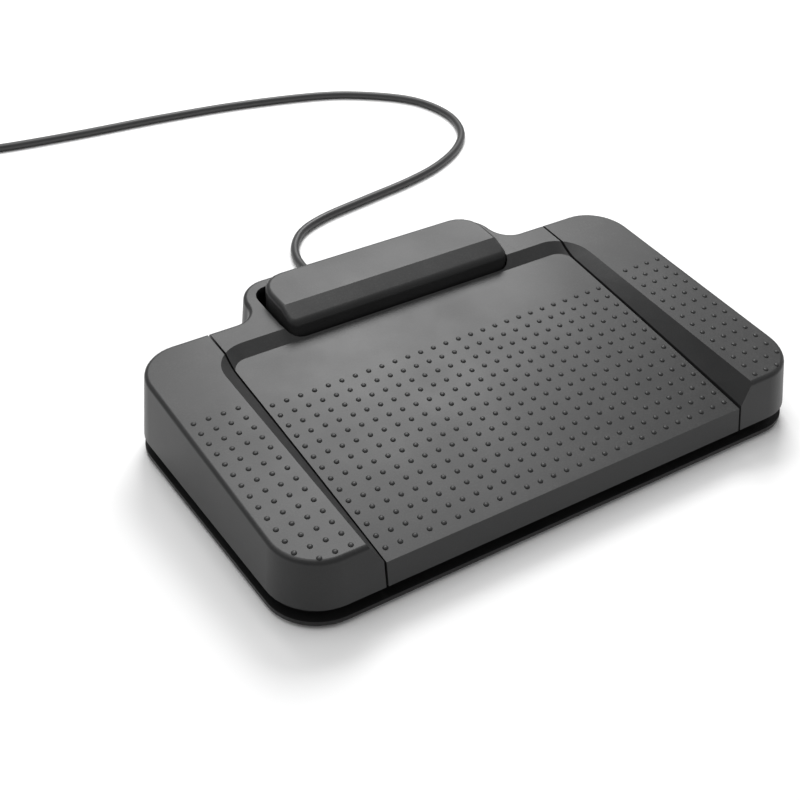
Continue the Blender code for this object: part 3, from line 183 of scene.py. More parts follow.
# %% The grain of a moulded skin
def build_grain():
    tree, given, result = new_group(
        "moulded_grain",
        [("Grain Scale", "NodeSocketFloat", 2200.0), ("Cloud Scale", "NodeSocketFloat", 26.0)],
        [("Height", "NodeSocketFloat"), ("Cloud", "NodeSocketFloat"), ("Speck", "NodeSocketFloat")])
    where = tree.nodes.new("ShaderNodeTexCoord").outputs["Object"]
    fine = noise_node(tree, where, given.outputs["Grain Scale"], 3.0, 0.6)
    half_scale = math_node(tree, "MULTIPLY", given.outputs["Grain Scale"], 0.42)
    coarse = noise_node(tree, where, half_scale, 2.0)
    height = math_node(tree, "ADD", fine, math_node(tree, "MULTIPLY", coarse, 0.6))
    cloud = noise_node(tree, where, given.outputs["Cloud Scale"], 4.0, 0.55)
    tree.links.new(height, result.inputs["Height"])
    tree.links.new(spread(tree, cloud, 0.32, 0.68, 0.0, 1.0), result.inputs["Cloud"])
    tree.links.new(spread(tree, fine, 0.3, 0.7, 0.0, 1.0), result.inputs["Speck"])
    return tree


# %% Dust that settles on what faces up
def build_dust():
    tree, given, result = new_group(
        "settled_dust",
        [("Patch Scale", "NodeSocketFloat", 60.0), ("Amount", "NodeSocketFloat", 0.3)],
        [("Mask", "NodeSocketFloat")])
    where = tree.nodes.new("ShaderNodeTexCoord").outputs["Object"]
    facing = tree.nodes.new("ShaderNodeSeparateXYZ")
    tree.links.new(tree.nodes.new("ShaderNodeNewGeometry").outputs["Normal"], facing.inputs[0])
    upward = spread(tree, facing.outputs["Z"], 0.55, 1.0, 0.0, 1.0)
    patches = noise_node(tree, where, given.outputs["Patch Scale"], 5.0, 0.65)
    specks = noise_node(tree, where, 1400.0, 2.0, 0.7)
    broken = math_node(tree, "MULTIPLY", spread(tree, patches, 0.35, 0.75, 0.0, 1.0),
                       spread(tree, specks, 0.45, 0.75, 0.2, 1.0))
    mask = math_node(tree, "MULTIPLY", math_node(tree, "MULTIPLY", broken, upward), given.outputs["Amount"])
    tree.links.new(mask, result.inputs["Mask"])
    return tree


# %% Fine rubbed lines, as a brush or a draw die leaves on metal
def build_lines():
    tree, given, result = new_group(
        "drawn_lines",
        [("Line Scale", "NodeSocketFloat", 4000.0), ("Stretch", "NodeSocketVector", (0.02, 1.0, 1.0))],
        [("Lines", "NodeSocketFloat")])
    where = tree.nodes.new("ShaderNodeTexCoord").outputs["Object"]
    along = tree.nodes.new("ShaderNodeVectorMath")
    along.operation = "MULTIPLY"
    tree.links.new(where, along.inputs[0])
    tree.links.new(given.outputs["Stretch"], along.inputs[1])
    lines = noise_node(tree, along.outputs[0], given.outputs["Line Scale"], 3.0, 0.7)
    tree.links.new(spread(tree, lines, 0.3, 0.7, 0.0, 1.0), result.inputs["Lines"])
    return tree


GRAIN, DUST, LINES = build_grain(), build_dust(), build_lines()
print("effects:", [group.name for group in (GRAIN, DUST, LINES)])

# %% [markdown]
# ## The materials
#
# Each material has its own Principled BSDF. Uniform values are typed on the shader's sockets, and only
# what varies over the surface is linked. Colour runs between two close shades along the cloud mask,
# roughness follows it too, and the grain goes through a Bump node.

# %% Parts that every material shares
def start_material(name):
    made = bpy.data.materials.new(name)
    made.use_nodes = True
    tree = made.node_tree
    return made, tree, tree.nodes["Principled BSDF"]


def use_group(tree, group, **values):
    made = tree.nodes.new("ShaderNodeGroup")
    made.node_tree = group
    for socket_name, value in values.items():
        made.inputs[socket_name.replace("_", " ")].default_value = value
    return made


def mix_colour(tree, mask, first, second):
    """Blend two colours along a mask; each is a colour or a socket."""
    made = tree.nodes.new("ShaderNodeMix")
    made.data_type = "RGBA"
    tree.links.new(mask, made.inputs["Factor"])
    for socket, colour in ((made.inputs[6], first), (made.inputs[7], second)):
        if isinstance(colour, tuple):
            socket.default_value = (*colour, 1.0)
        else:
            tree.links.new(colour, socket)
    return made.outputs[2]


def add_bump(tree, shader, height, strength, distance):
    made = tree.nodes.new("ShaderNodeBump")
    made.inputs["Strength"].default_value = strength
    made.inputs["Distance"].default_value = distance
    tree.links.new(height, made.inputs["Height"])
    tree.links.new(made.outputs["Normal"], shader.inputs["Normal"])


# %% Moulded plastics and rubbers
def moulded(name, dark, light, roughness, grain_scale=2200.0, bump=0.25, depth=0.00005, dust=0.25,
            dust_colour=(0.16, 0.16, 0.155), specular=0.5):
    made, tree, shader = start_material(name)
    grain = use_group(tree, GRAIN, Grain_Scale=grain_scale)
    settled = use_group(tree, DUST, Amount=dust)
    clouded = mix_colour(tree, grain.outputs["Cloud"], dark, light)
    speckled = mix_colour(tree, spread(tree, grain.outputs["Speck"], 0.0, 1.0, 0.0, 0.35), clouded,
                          tuple(value * 1.35 for value in light))
    tree.links.new(mix_colour(tree, settled.outputs["Mask"], speckled, dust_colour),
                   shader.inputs["Base Color"])
    matt = spread(tree, grain.outputs["Cloud"], 0.0, 1.0, roughness[0], roughness[1])
    tree.links.new(math_node(tree, "ADD", matt, math_node(tree, "MULTIPLY", settled.outputs["Mask"], 0.25)),
                   shader.inputs["Roughness"])
    shader.inputs["Specular IOR Level"].default_value = specular
    add_bump(tree, shader, grain.outputs["Height"], bump, depth)
    return made


CHARCOAL = moulded("charcoal_plastic", (0.019, 0.0192, 0.0195), (0.025, 0.0252, 0.0255), (0.36, 0.43),
                   specular=0.27)
BLACK = moulded("black_plastic", (0.009, 0.009, 0.0092), (0.013, 0.013, 0.0132), (0.42, 0.52), dust=0.1,
                specular=0.3)
RUBBER = moulded("black_rubber", (0.010, 0.010, 0.010), (0.016, 0.016, 0.016), (0.7, 0.85), 900.0, 0.5,
                 0.0001, 0.2)
GLAND_RUBBER = moulded("gland_rubber", (0.014, 0.014, 0.014), (0.02, 0.02, 0.02), (0.45, 0.58), 1500.0, 0.2)
JACKET = moulded("cord_jacket", (0.020, 0.020, 0.0205), (0.028, 0.028, 0.0285), (0.38, 0.48), 1200.0, 0.12,
                 0.00004, 0.15)
SOCKET = moulded("socket_plastic", (0.02, 0.02, 0.02), (0.03, 0.03, 0.03), (0.25, 0.35), 1800.0, 0.1)
CHIP = moulded("chip_resin", (0.010, 0.010, 0.011), (0.018, 0.018, 0.019), (0.5, 0.62), 3000.0, 0.3)
print("plastics and rubbers made")


# %% Metals and the circuit board
def metal(name, dark, light, roughness, line_scale, stretch, bump):
    made, tree, shader = start_material(name)
    lines = use_group(tree, LINES, Line_Scale=line_scale, Stretch=stretch)
    grain = use_group(tree, GRAIN, Grain_Scale=900.0, Cloud_Scale=80.0)
    drawn = mix_colour(tree, lines.outputs["Lines"], dark, light)
    dulled = mix_colour(tree, spread(tree, grain.outputs["Cloud"], 0.0, 1.0, 0.0, 0.3), drawn, dark)
    tree.links.new(dulled, shader.inputs["Base Color"])
    tree.links.new(spread(tree, lines.outputs["Lines"], 0.0, 1.0, *roughness), shader.inputs["Roughness"])
    shader.inputs["Metallic"].default_value = 1.0
    add_bump(tree, shader, lines.outputs["Lines"], bump, 0.00003)
    return made


def solder_mask_board(name):
    """Green lacquer over copper tracks that run in a brick-like pattern."""
    made, tree, shader = start_material(name)
    where = tree.nodes.new("ShaderNodeTexCoord").outputs["Object"]
    tracks = tree.nodes.new("ShaderNodeTexBrick")
    tracks.inputs["Scale"].default_value = 90.0
    tracks.inputs["Mortar Size"].default_value = 0.018
    tracks.inputs["Color1"].default_value = (0.0, 0.0, 0.0, 1.0)
    tracks.inputs["Color2"].default_value = (0.0, 0.0, 0.0, 1.0)
    tracks.inputs["Mortar"].default_value = (1.0, 1.0, 1.0, 1.0)
    tree.links.new(where, tracks.inputs["Vector"])
    grain = use_group(tree, GRAIN, Grain_Scale=1500.0, Cloud_Scale=60.0)
    lacquer = mix_colour(tree, grain.outputs["Cloud"], (0.008, 0.075, 0.03), (0.012, 0.1, 0.042))
    tree.links.new(mix_colour(tree, tracks.outputs["Color"], lacquer, (0.03, 0.19, 0.08)),
                   shader.inputs["Base Color"])
    tree.links.new(spread(tree, grain.outputs["Cloud"], 0.0, 1.0, 0.22, 0.34), shader.inputs["Roughness"])
    add_bump(tree, shader, tracks.outputs["Fac"], 0.3, 0.0001)
    return made


STEEL = metal("bright_steel", (0.42, 0.42, 0.415), (0.66, 0.66, 0.65), (0.22, 0.38), 3000.0,
              (0.03, 1.0, 1.0), 0.15)
NICKEL = metal("magnet_nickel", (0.5, 0.49, 0.45), (0.68, 0.66, 0.61), (0.15, 0.25), 1800.0,
               (1.0, 1.0, 0.1), 0.1)
BOARD = solder_mask_board("green_board")
FINISHES = {"charcoal_plastic": CHARCOAL, "black_plastic": BLACK, "black_rubber": RUBBER,
            "cord_jacket": JACKET, "socket_plastic": SOCKET, "bright_steel": STEEL,
            "magnet_nickel": NICKEL, "green_board": BOARD, "chip_resin": CHIP}
print("finishes:", sorted(FINISHES))

# %% [markdown]
# The solid model's own pieces keep their shape and only change their finish. The record says which
# finish slot each piece has, so one loop dresses them all.

# %% Dress the solid model's pieces
for part in frame["record"]["subparts"]:
    piece = frame["nodes"][part["node"]]
    piece.data.materials.clear()
    piece.data.materials.append(FINISHES[part["material_slot"]])

# %% [markdown]
# ## The cord
#
# A free cord is a fixed length of something flexible. It leaves the hump through its strain relief,
# comes down to the floor in a few diameters, swings out to the right and back in one long bow, and the
# length left over is wound in a neat round coil, tied twice, with the plug beside it. The line is one
# smooth spline. The bow follows listed points, and the coil's turns are worked out.

# %% The cord's own sizes
CORD_RADIUS = 1.9 * MM
LIES = 2.0 * MM                          # height of the cord's middle where it lies
gland_low, gland_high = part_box("strain_relief")
coil_low, coil_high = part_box("cord_coil")
coil_middle = (coil_low + coil_high) / 2
plug_low, plug_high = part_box("plug_body")
STRAND = 2 * CORD_RADIUS
OUTER_TURN = (coil_high.x - coil_low.x) / 2 - CORD_RADIUS
BOTTOM_ROW = coil_low.z + CORD_RADIUS
EXIT_HEIGHT = 7.0 * MM
SHOWS_PAST_SLEEVE = 0.3 * MM
EXIT = Vector((0.0, gland_high.y + SHOWS_PAST_SLEEVE, EXIT_HEIGHT))

BOW = [
    tuple(EXIT), (0.0000, 0.0995, 0.0060), (0.0007, 0.1085, 0.0034),
    (0.0020, 0.1180, LIES), (0.0036, 0.1262, LIES), (0.0083, 0.1355, LIES), (0.0175, 0.1445, LIES),
    (0.0328, 0.1505, LIES), (0.0581, 0.1550, LIES), (0.0847, 0.1595, LIES), (0.1060, 0.1658, LIES),
    (0.1250, 0.1765, LIES), (0.1382, 0.1910, LIES), (0.1436, 0.2110, LIES), (0.1378, 0.2335, LIES),
    (0.1200, 0.2515, LIES), (0.0965, 0.2645, LIES), (0.0545, 0.2757, LIES), (0.0118, 0.2820, LIES),
    (-0.0309, 0.2860, LIES), (-0.0690, 0.2912, LIES), (-0.0880, 0.2965, 0.0024),
    (coil_middle.x + 0.0168, coil_middle.y + OUTER_TURN - 0.0006, BOTTOM_ROW),
]
TAIL = [
    (coil_middle.x - OUTER_TURN, coil_middle.y - 0.0160, BOTTOM_ROW),
    (coil_middle.x - OUTER_TURN - 0.0002, coil_middle.y - 0.0220, 0.0033),
    (coil_middle.x - OUTER_TURN - 0.0002, plug_high.y + 0.0070, 0.0038),
    (coil_middle.x - OUTER_TURN, plug_high.y + 0.0003, (plug_low.z + plug_high.z) / 2),
]
print("cord leaves at", [round(value, 4) for value in EXIT], "and lies", LIES, "m up")


# %% A smooth curve through chosen points
STEPS_BETWEEN_POINTS = 24
BOW_SPACING = 4 * MM
TAIL_SPACING = 3 * MM


def smooth_route(route, spacing):
    """Points a set distance apart on a smooth curve through the route's own points."""
    knots = [Vector(point) for point in route]
    padded = [2 * knots[0] - knots[1]] + knots + [2 * knots[-1] - knots[-2]]
    fine = []
    for before, start, end, after in zip(padded, padded[1:], padded[2:], padded[3:]):
        slope = end - before
        bend = 2 * before - 5 * start + 4 * end - after
        twist = 3 * start - before - 3 * end + after
        for step in range(STEPS_BETWEEN_POINTS):
            t = step / STEPS_BETWEEN_POINTS
            fine.append(0.5 * (2 * start + slope * t + bend * t ** 2 + twist * t ** 3))
    fine.append(knots[-1])
    length = sum((b - a).length for a, b in zip(fine, fine[1:]))
    count = max(2, round(length / spacing))
    picked, gone = [fine[0]], 0.0
    for a, b in zip(fine, fine[1:]):
        gone += (b - a).length
        if gone >= length / count * len(picked) and len(picked) < count:
            picked.append(b)
    return picked + [fine[-1]]


# %% [markdown]
# The coil is wound the way a hand winds it: three columns of turns from the bottom up, back and forth,
# and then the last turns down the outside, so that the tail leaves at the bottom. A turn holds its
# place for most of the round and slides to the next place over a short stretch at the end.

# %% Wind the coil
STEPS_PER_TURN = 24
SLIDE = 0.28                              # share of a turn spent moving to the next place
PLACES = [(1, 0), (2, 0), (3, 0), (3, 1), (2, 1), (1, 1), (1, 2), (2, 2), (3, 2), (0, 2), (0, 1), (0, 0)]


def ease(t):
    return t * t * (3 - 2 * t)


def turn_place(place):
    column, row = place
    return OUTER_TURN - STRAND * column, BOTTOM_ROW + STRAND * row


def wind_coil(start_angle, end_angle):
    """Points of the turns, anticlockwise from one angle to the other."""
    points = []
    track = [(0, 0)] + PLACES
    total = len(PLACES) * 2 * math.pi
    steps = len(PLACES) * STEPS_PER_TURN
    sweep = end_angle - start_angle + (len(PLACES) - 1) * 2 * math.pi
    for step in range(steps + 1):
        turned = sweep * step / steps
        along = len(PLACES) * turned / total
        number = min(int(along), len(PLACES) - 1)
        here, there = turn_place(track[number]), turn_place(track[number + 1])
        share = ease(min(1.0, (along - number) / SLIDE))
        radius = here[0] + (there[0] - here[0]) * share
        height = here[1] + (there[1] - here[1]) * share
        angle = start_angle + turned
        points.append(Vector((coil_middle.x + radius * math.cos(angle),
                              coil_middle.y + radius * math.sin(angle), height)))
    return points


enter = Vector(BOW[-1]) - coil_middle
leave = Vector(TAIL[0]) - coil_middle
enter_angle = math.atan2(enter.y, enter.x)
leave_angle = math.atan2(leave.y, leave.x) + 2 * math.pi
bow_points = smooth_route(BOW, BOW_SPACING)
turns = wind_coil(enter_angle, leave_angle)
tail_points = smooth_route(TAIL, TAIL_SPACING)
line = bow_points + turns[1:-1] + tail_points

cord_curve = bpy.data.curves.new("cord_line", "CURVE")
cord_curve.dimensions = "3D"
cord_curve.bevel_depth = CORD_RADIUS
cord_curve.bevel_resolution = 5
cord_curve.use_fill_caps = True
spline = cord_curve.splines.new("POLY")
spline.points.add(len(line) - 1)
for point, place in zip(spline.points, line):
    point.co = (*place, 1.0)
spline.use_smooth = True
cord_curve.materials.append(JACKET)
cord_piece = bpy.data.objects.new("cord_line", cord_curve)
bpy.context.scene.collection.objects.link(cord_piece)
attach(cord_piece, "base")
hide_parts("cord", "cord_coil", "cord_tail")

# %% [markdown]
# ## Floor and light
#
# The control stands on a plain pale floor. A satin surface shows what it mirrors, so a softbox stands
# behind it to the right, where the camera sees its reflection in the sloping tops. A small bright panel
# behind draws the thin highlights, a wide one overhead lifts everything that faces up, a weak one at
# the left opens the side wall, and the pale surroundings fill.

# %% The floor
FLOOR_SIZE = 6.0
floor_shape = bmesh.new()
bmesh.ops.create_grid(floor_shape, x_segments=8, y_segments=8, size=FLOOR_SIZE / 2)
floor_mesh = bpy.data.meshes.new("floor")
floor_shape.to_mesh(floor_mesh)
floor_shape.free()
paper, tree, shader = start_material("pale_paper")
sheet_grain = use_group(tree, GRAIN, Grain_Scale=400.0, Cloud_Scale=3.0)
tree.links.new(mix_colour(tree, sheet_grain.outputs["Cloud"], (0.95, 0.95, 0.95), (0.965, 0.965, 0.965)),
               shader.inputs["Base Color"])
shader.inputs["Roughness"].default_value = 0.9
shader.inputs["Specular IOR Level"].default_value = 0.1
floor_mesh.materials.append(paper)
floor = bpy.data.objects.new("floor", floor_mesh)
bpy.context.scene.collection.objects.link(floor)


# %% The lights
def soft_light(name, azimuth, elevation, distance, width, height, radiance):
    """A panel light aimed at the control; azimuth is measured from +Y towards +X."""
    panel = bpy.data.lights.new(name, "AREA")
    panel.shape = "RECTANGLE"
    panel.size, panel.size_y = width, height
    panel.energy = radiance * math.pi * width * height
    lamp = bpy.data.objects.new(name, panel)
    bpy.context.scene.collection.objects.link(lamp)
    turn, rise = math.radians(azimuth), math.radians(elevation)
    place = Vector((math.sin(turn) * math.cos(rise), math.cos(turn) * math.cos(rise),
                    math.sin(rise))) * distance
    lamp.matrix_world = Matrix.Translation(place) @ (-place).to_track_quat("-Z", "Y").to_matrix().to_4x4()
    lamp.visible_camera = False


soft_light("back_softbox", 37, 46, 1.3, 0.5, 0.5, 13.0)
soft_light("left_panel", -85, 50, 1.4, 0.7, 0.6, 0.9)
soft_light("edge_light", 5, 55, 1.3, 0.2, 0.3, 9.0)
soft_light("roof_panel", -20, 80, 1.5, 0.9, 0.9, 2.6)
surroundings = bpy.data.worlds.new("studio")
bpy.context.scene.world = surroundings
surroundings.use_nodes = True
sky = surroundings.node_tree.nodes["Background"]
sky.inputs["Color"].default_value = (1.0, 1.0, 1.0, 1.0)
sky.inputs["Strength"].default_value = 0.42
bpy.context.scene.view_settings.view_transform = "Standard"
print("four panels and pale surroundings")

# %% [markdown]
# ## The moulded shells
#
# The pedals, the toe bar and the tray have the right form in the solid model, and their large rims are
# rounded there. The other edges are dead sharp, and a real mould can't make that. A copy of each shell
# is merged back from loose triangles, its flat faces are cleaned, and its sharp edges get a rounding of
# a few tenths of a millimetre, which catches the thin highlights that tell the eye it is moulded.

# %% Copy a shell and soften its edges
MERGE = 2e-6
FLAT = math.radians(0.08)
SHARP = math.radians(24)
RIDGE = math.radians(17)
RIDGE_LEAST_HEIGHT = 38 * MM
RIDGE_LEAST_LENGTH = 40 * MM
SHELL_EDGE = 0.35 * MM
BAR_EDGE = 0.3 * MM
TRAY_EDGE = 0.3 * MM


def softened(node, name, body, slot, radius, segments=3, crease=None):
    """Replace a solid's node with a copy whose sharp edges, and any chosen crease, are rounded."""
    shape = bmesh.new()
    shape.from_mesh(frame["nodes"][node].data)
    bmesh.ops.remove_doubles(shape, verts=shape.verts, dist=MERGE)
    bmesh.ops.dissolve_degenerate(shape, edges=shape.edges, dist=MERGE)
    bmesh.ops.dissolve_limit(shape, angle_limit=FLAT, verts=shape.verts, edges=shape.edges,
                             use_dissolve_boundaries=False)
    edges = [edge for edge in shape.edges if edge.is_manifold
             and (edge.calc_face_angle(0.0) > SHARP or crease and crease(edge))]
    bmesh.ops.bevel(shape, geom=edges, offset=radius, offset_type="OFFSET", segments=segments,
                    profile=0.5, affect="EDGES", clamp_overlap=True, material=-1)
    piece = finish_piece(name, shape, FINISHES[slot], body, weighted=True)
    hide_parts(node)
    return piece


def is_bar_ridge(edge):
    """The long shallow fold between the toe bar's top and its chamfer."""
    high = all(vertex.co.z > RIDGE_LEAST_HEIGHT for vertex in edge.verts)
    folded = edge.is_convex and edge.calc_face_angle(0.0) > RIDGE
    return high and edge.calc_length() > RIDGE_LEAST_LENGTH and folded


softened("left_pedal", "left_pedal_shell", "left_pedal_body", "charcoal_plastic", SHELL_EDGE)
softened("right_pedal", "right_pedal_shell", "right_pedal_body", "charcoal_plastic", SHELL_EDGE)
softened("centre_pedal", "centre_pedal_shell", "centre_pedal_body", "charcoal_plastic", SHELL_EDGE)
softened("toe_bar", "toe_bar_shell", "toe_bar_body", "charcoal_plastic", BAR_EDGE, crease=is_bar_ridge)
softened("base_tray", "base_tray_shell", "base", "black_plastic", TRAY_EDGE, 2)

# %% [markdown]
# ## The studs
#
# Rows of small round studs give a shoe its grip. They are moulded in one piece with the pedals, so each
# stud is a low dome whose foot runs a little way into the skin, turned to stand square on the slope.
# One dome has only a few dozen faces, because there are hundreds. A ray dropped on the solid model
# finds the height and the slope at each place, so no stud floats or sinks.

# %% One stud
STUD_RADIUS = 1.0 * MM
STUD_HEIGHT = 0.48 * MM
STUD_FOOT = 0.12 * MM
PITCH = 5.66 * MM


def make_stud():
    """Low dome, closed under its foot."""
    dome = bmesh.new()
    bmesh.ops.create_uvsphere(dome, u_segments=12, v_segments=10, radius=1.0)
    bmesh.ops.scale(dome, vec=(STUD_RADIUS, STUD_RADIUS, STUD_HEIGHT), verts=dome.verts)
    everything = dome.verts[:] + dome.edges[:] + dome.faces[:]
    bmesh.ops.bisect_plane(dome, geom=everything, plane_co=(0, 0, -STUD_FOOT), plane_no=(0, 0, -1),
                           clear_outer=True, dist=1e-8)
    rim = [edge for edge in dome.edges if edge.is_boundary]
    bmesh.ops.contextual_create(dome, geom=rim)
    mesh = bpy.data.meshes.new("stud")
    dome.to_mesh(mesh)
    dome.free()
    return mesh


STUD = make_stud()
print("one stud has", len(STUD.polygons), "faces")


# %% Fields of studs
def stud_field(name, node, body, places):
    """Stand a stud at each place, square on the node's top."""
    skin = frame["nodes"][node].data
    surface = BVHTree.FromPolygons([v.co for v in skin.vertices], [p.vertices for p in skin.polygons])
    above = cad_box[1][2] + 10 * MM
    field = bmesh.new()
    for x, y in places:
        spot, slope, _, _ = surface.ray_cast(Vector((x, y, above)), Vector((0, 0, -1)))
        square = Vector((0, 0, 1)).rotation_difference(slope).to_matrix().to_4x4()
        already = len(field.verts)
        field.from_mesh(STUD)
        field.verts.ensure_lookup_table()
        bmesh.ops.transform(field, matrix=Matrix.Translation(spot) @ square, verts=field.verts[already:])
    return finish_piece(name, field, CHARCOAL, body)


# The plate's rows are centred left to right; the side pedals' columns keep the same pitch.
PLATE_ROWS, PLATE_COLUMNS = 14, 27
PLATE_MIDDLE_Y = -28.9 * MM
PLATE_SLOPE = math.radians(7.2)
PLATE_ROW_STEP = PITCH * math.cos(PLATE_SLOPE)
SIDE_ROWS, SIDE_COLUMNS = 14, 4
SIDE_FIRST_X = 86.8 * MM
SIDE_FIRST_Y = -65.8 * MM
SIDE_SLOPE = math.radians(4.2)
SIDE_ROW_STEP = PITCH * math.cos(SIDE_SLOPE)

plate_places = [((column - (PLATE_COLUMNS - 1) / 2) * PITCH,
                 PLATE_MIDDLE_Y + (row - (PLATE_ROWS - 1) / 2) * PLATE_ROW_STEP)
                for row in range(PLATE_ROWS) for column in range(PLATE_COLUMNS)]
stud_field("plate_studs", "centre_pedal", "centre_pedal_body", plate_places)
for side, sign in (("left", -1), ("right", 1)):
    side_places = [(sign * (SIDE_FIRST_X + column * PITCH), SIDE_FIRST_Y + row * SIDE_ROW_STEP)
                   for row in range(SIDE_ROWS) for column in range(SIDE_COLUMNS)
                   if row > 0 or column < SIDE_COLUMNS - 1]      # the rounded corner has no room for one
    stud_field(f"{side}_pedal_studs", f"{side}_pedal", f"{side}_pedal_body", side_places)

# %% [markdown]
# ## The strain relief
#
# A cord that bends hard at a wall breaks there. The rubber sleeve is stiff at the wall and limp at its
# tip, because grooves are moulded into a taper. Its section is drawn once as a line of points, deep in
# the grooves and high on the ribs, and spun round the cord.

# %% Spin the ribbed sleeve
SLEEVE_COLLAR = 3.5 * MM
SLEEVE_NECK = 2.7 * MM
SLEEVE_TIP = 2.25 * MM
RIBS = 5
GROOVE_DEPTH = 0.28 * MM
COLLAR_LENGTH = 3.0 * MM
PLAIN_NECK = 3.0 * MM
PLAIN_TIP = 1.2 * MM
TIP_ROUNDING = 0.3 * MM
HOLE_DEPTH = 2 * MM
hump_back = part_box("centre_pedal")[1].y
sleeve_start, sleeve_end = gland_low.y, gland_high.y
ribs_start = hump_back + PLAIN_NECK
rib_step = (sleeve_end - PLAIN_TIP - ribs_start) / RIBS
print("ribs every", round(rib_step / MM, 2), "mm")


def taper(y):
    share = max(0.0, (y - hump_back) / (sleeve_end - hump_back))
    return SLEEVE_NECK + (SLEEVE_TIP - SLEEVE_NECK) * share


def sleeve_profile():
    """Stations (y, radius) from the inner end to the tip, with a hole for the cord."""
    collar_end = sleeve_start + COLLAR_LENGTH
    stations = [(sleeve_start, CORD_RADIUS), (sleeve_start, SLEEVE_COLLAR), (collar_end, SLEEVE_COLLAR),
                (collar_end, SLEEVE_NECK), (ribs_start, taper(ribs_start))]
    for rib in range(RIBS):
        start = ribs_start + rib * rib_step
        stations += [(start + 0.10 * rib_step, taper(start) - GROOVE_DEPTH),
                     (start + 0.38 * rib_step, taper(start) - GROOVE_DEPTH),
                     (start + 0.50 * rib_step, taper(start + 0.50 * rib_step)),
                     (start + 0.96 * rib_step, taper(start + 0.96 * rib_step))]
    stations += [(sleeve_end - TIP_ROUNDING, taper(sleeve_end)), (sleeve_end, SLEEVE_TIP - 0.25 * MM),
                 (sleeve_end, CORD_RADIUS + 0.05 * MM), (sleeve_end - HOLE_DEPTH, CORD_RADIUS)]
    return stations


sleeve = bmesh.new()
rim = [sleeve.verts.new((radius, y, EXIT.z)) for y, radius in sleeve_profile()]
section = [sleeve.edges.new(pair) for pair in zip(rim, rim[1:] + rim[:1])]
bmesh.ops.spin(sleeve, geom=rim + section, cent=(0, 0, EXIT.z), axis=(0, 1, 0), angle=2 * math.pi,
               steps=40, use_merge=True)
bmesh.ops.remove_doubles(sleeve, verts=sleeve.verts, dist=1e-6)
bmesh.ops.recalc_face_normals(sleeve, faces=sleeve.faces)
sleeve_piece = finish_piece("ribbed_sleeve", sleeve, GLAND_RUBBER, "base")
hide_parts("strain_relief")

# %% [markdown]
# ## The plug and the ties
#
# The plug's grip is one rubber moulding with finger grooves round it. A block gets rounded edges and is
# cut into stations along its length, and the stations in the grooves are pulled in a little. The metal
# mouth is folded sheet: an open box with a thin wall. Each flat side has two square windows, where the
# socket's springs catch, laid on as thin dark panes.


# %% Mould the grip
def box_shape(low, high):
    block = bmesh.new()
    bmesh.ops.create_cube(block, size=1.0)
    bmesh.ops.scale(block, vec=Vector(high) - Vector(low), verts=block.verts)
    bmesh.ops.translate(block, vec=(Vector(high) + Vector(low)) / 2, verts=block.verts)
    return block


GRIP_STATIONS = 15
GRIP_GROOVES = (4, 6, 8, 10)
GROOVE_PULL = 0.93
GROOVE_REACH = 0.35                       # half a groove's width, in stations
GRIP_EDGE = 1.5 * MM
grip = box_shape(plug_low, plug_high)
bmesh.ops.bevel(grip, geom=grip.edges[:], offset=GRIP_EDGE, offset_type="OFFSET", segments=4, profile=0.5,
                affect="EDGES", clamp_overlap=True, material=-1)
grip_length = plug_high.y - plug_low.y
for station in range(2, GRIP_STATIONS - 1):
    for shift in (-0.3, 0.3):
        y = plug_low.y + grip_length * (station + shift) / GRIP_STATIONS
        bmesh.ops.bisect_plane(grip, geom=grip.verts[:] + grip.edges[:] + grip.faces[:],
                               plane_co=(0, y, 0), plane_no=(0, 1, 0), dist=1e-7)
plug_middle = (plug_low + plug_high) / 2
for vertex in grip.verts:
    place = (vertex.co.y - plug_low.y) / grip_length * GRIP_STATIONS
    if any(abs(place - groove) < GROOVE_REACH for groove in GRIP_GROOVES):
        vertex.co.x = plug_middle.x + (vertex.co.x - plug_middle.x) * GROOVE_PULL
        vertex.co.z = plug_middle.z + (vertex.co.z - plug_middle.z) * GROOVE_PULL
grip_piece = finish_piece("plug_grip", grip, GLAND_RUBBER, "base")
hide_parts("plug_body")

# %% Fold the metal mouth
mouth_low, mouth_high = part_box("plug_shell")
mouth_middle = (mouth_low + mouth_high) / 2
MOUTH_WALL = 0.35 * MM
MOUTH_EDGE = 0.5 * MM
MOUTH_DEPTH = 8.5 * MM


def open_end_faces(shape):
    """The faces that look out of the plug's open end."""
    return [face for face in shape.faces if face.normal.y < -0.9]


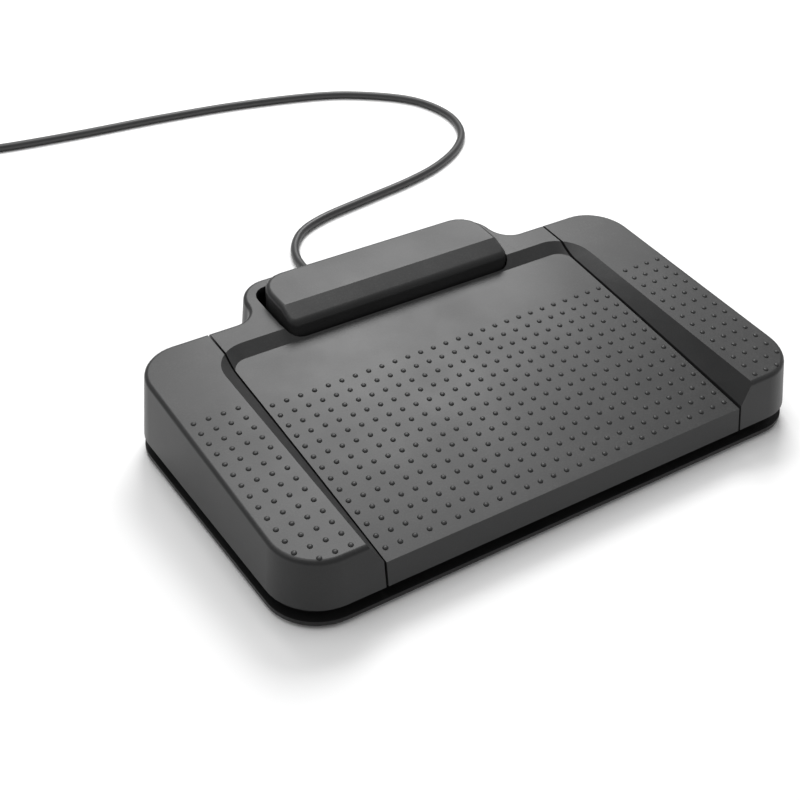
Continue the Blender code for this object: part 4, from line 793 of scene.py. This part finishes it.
mouth = box_shape(mouth_low, mouth_high)
long_edges = [edge for edge in mouth.edges if abs(edge.verts[0].co.y - edge.verts[1].co.y) > MM]
bmesh.ops.bevel(mouth, geom=long_edges, offset=MOUTH_EDGE, offset_type="OFFSET", segments=3, profile=0.5,
                affect="EDGES", clamp_overlap=True, material=-1)
bmesh.ops.inset_region(mouth, faces=open_end_faces(mouth), thickness=MOUTH_WALL, depth=0.0)
opening = max(open_end_faces(mouth), key=lambda face: face.calc_area())
pushed = bmesh.ops.extrude_discrete_faces(mouth, faces=[opening])
bmesh.ops.translate(mouth, vec=(0, MOUTH_DEPTH, 0), verts=pushed["faces"][0].verts)
mouth_piece = finish_piece("plug_mouth", mouth, STEEL, "base")
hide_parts("plug_shell")

# %% The tongue inside the mouth
TONGUE_HALF_WIDTH = 5.4 * MM
TONGUE_SET_BACK = 0.6 * MM
TONGUE_BEHIND = 3.2 * MM
TONGUE_RAISED = 0.1 * MM
TONGUE_CLEARANCE = 0.05 * MM
TONGUE_EDGE = 0.2 * MM
tongue_top = mouth_high.z - MOUTH_WALL - TONGUE_CLEARANCE
tongue = box_shape(
    (mouth_middle.x - TONGUE_HALF_WIDTH, mouth_low.y + TONGUE_SET_BACK, mouth_middle.z + TONGUE_RAISED),
    (mouth_middle.x + TONGUE_HALF_WIDTH, mouth_high.y - TONGUE_BEHIND, tongue_top))
bmesh.ops.bevel(tongue, geom=tongue.edges[:], offset=TONGUE_EDGE, offset_type="OFFSET", segments=2,
                profile=0.5, affect="EDGES", clamp_overlap=True, material=-1)
finish_piece("plug_tongue", tongue, SOCKET, "base")

# %% The windows in the mouth's flat sides
WINDOW = 2.2 * MM
WINDOW_FROM_MIDDLE = 2.9 * MM
WINDOW_FROM_END = 4.6 * MM
PANE_HALF_THICKNESS = 0.04 * MM
windows = bmesh.new()
for sign in (-1, 1):
    across = mouth_middle.x + sign * WINDOW_FROM_MIDDLE
    along = mouth_low.y + WINDOW_FROM_END
    for z in (mouth_low.z, mouth_high.z):
        pane = box_shape((across - WINDOW / 2, along, z - PANE_HALF_THICKNESS),
                         (across + WINDOW / 2, along + WINDOW, z + PANE_HALF_THICKNESS))
        pane_mesh = bpy.data.meshes.new("pane")
        pane.to_mesh(pane_mesh)
        pane.free()
        windows.from_mesh(pane_mesh)
finish_piece("plug_windows", windows, SOCKET, "base")

# %% Tie straps with softened edges
TIE_EDGE = 0.15 * MM
for number in (1, 2):
    softened(f"coil_tie_{number}", f"tie_strap_{number}", "base", "black_plastic", TIE_EDGE, 2)
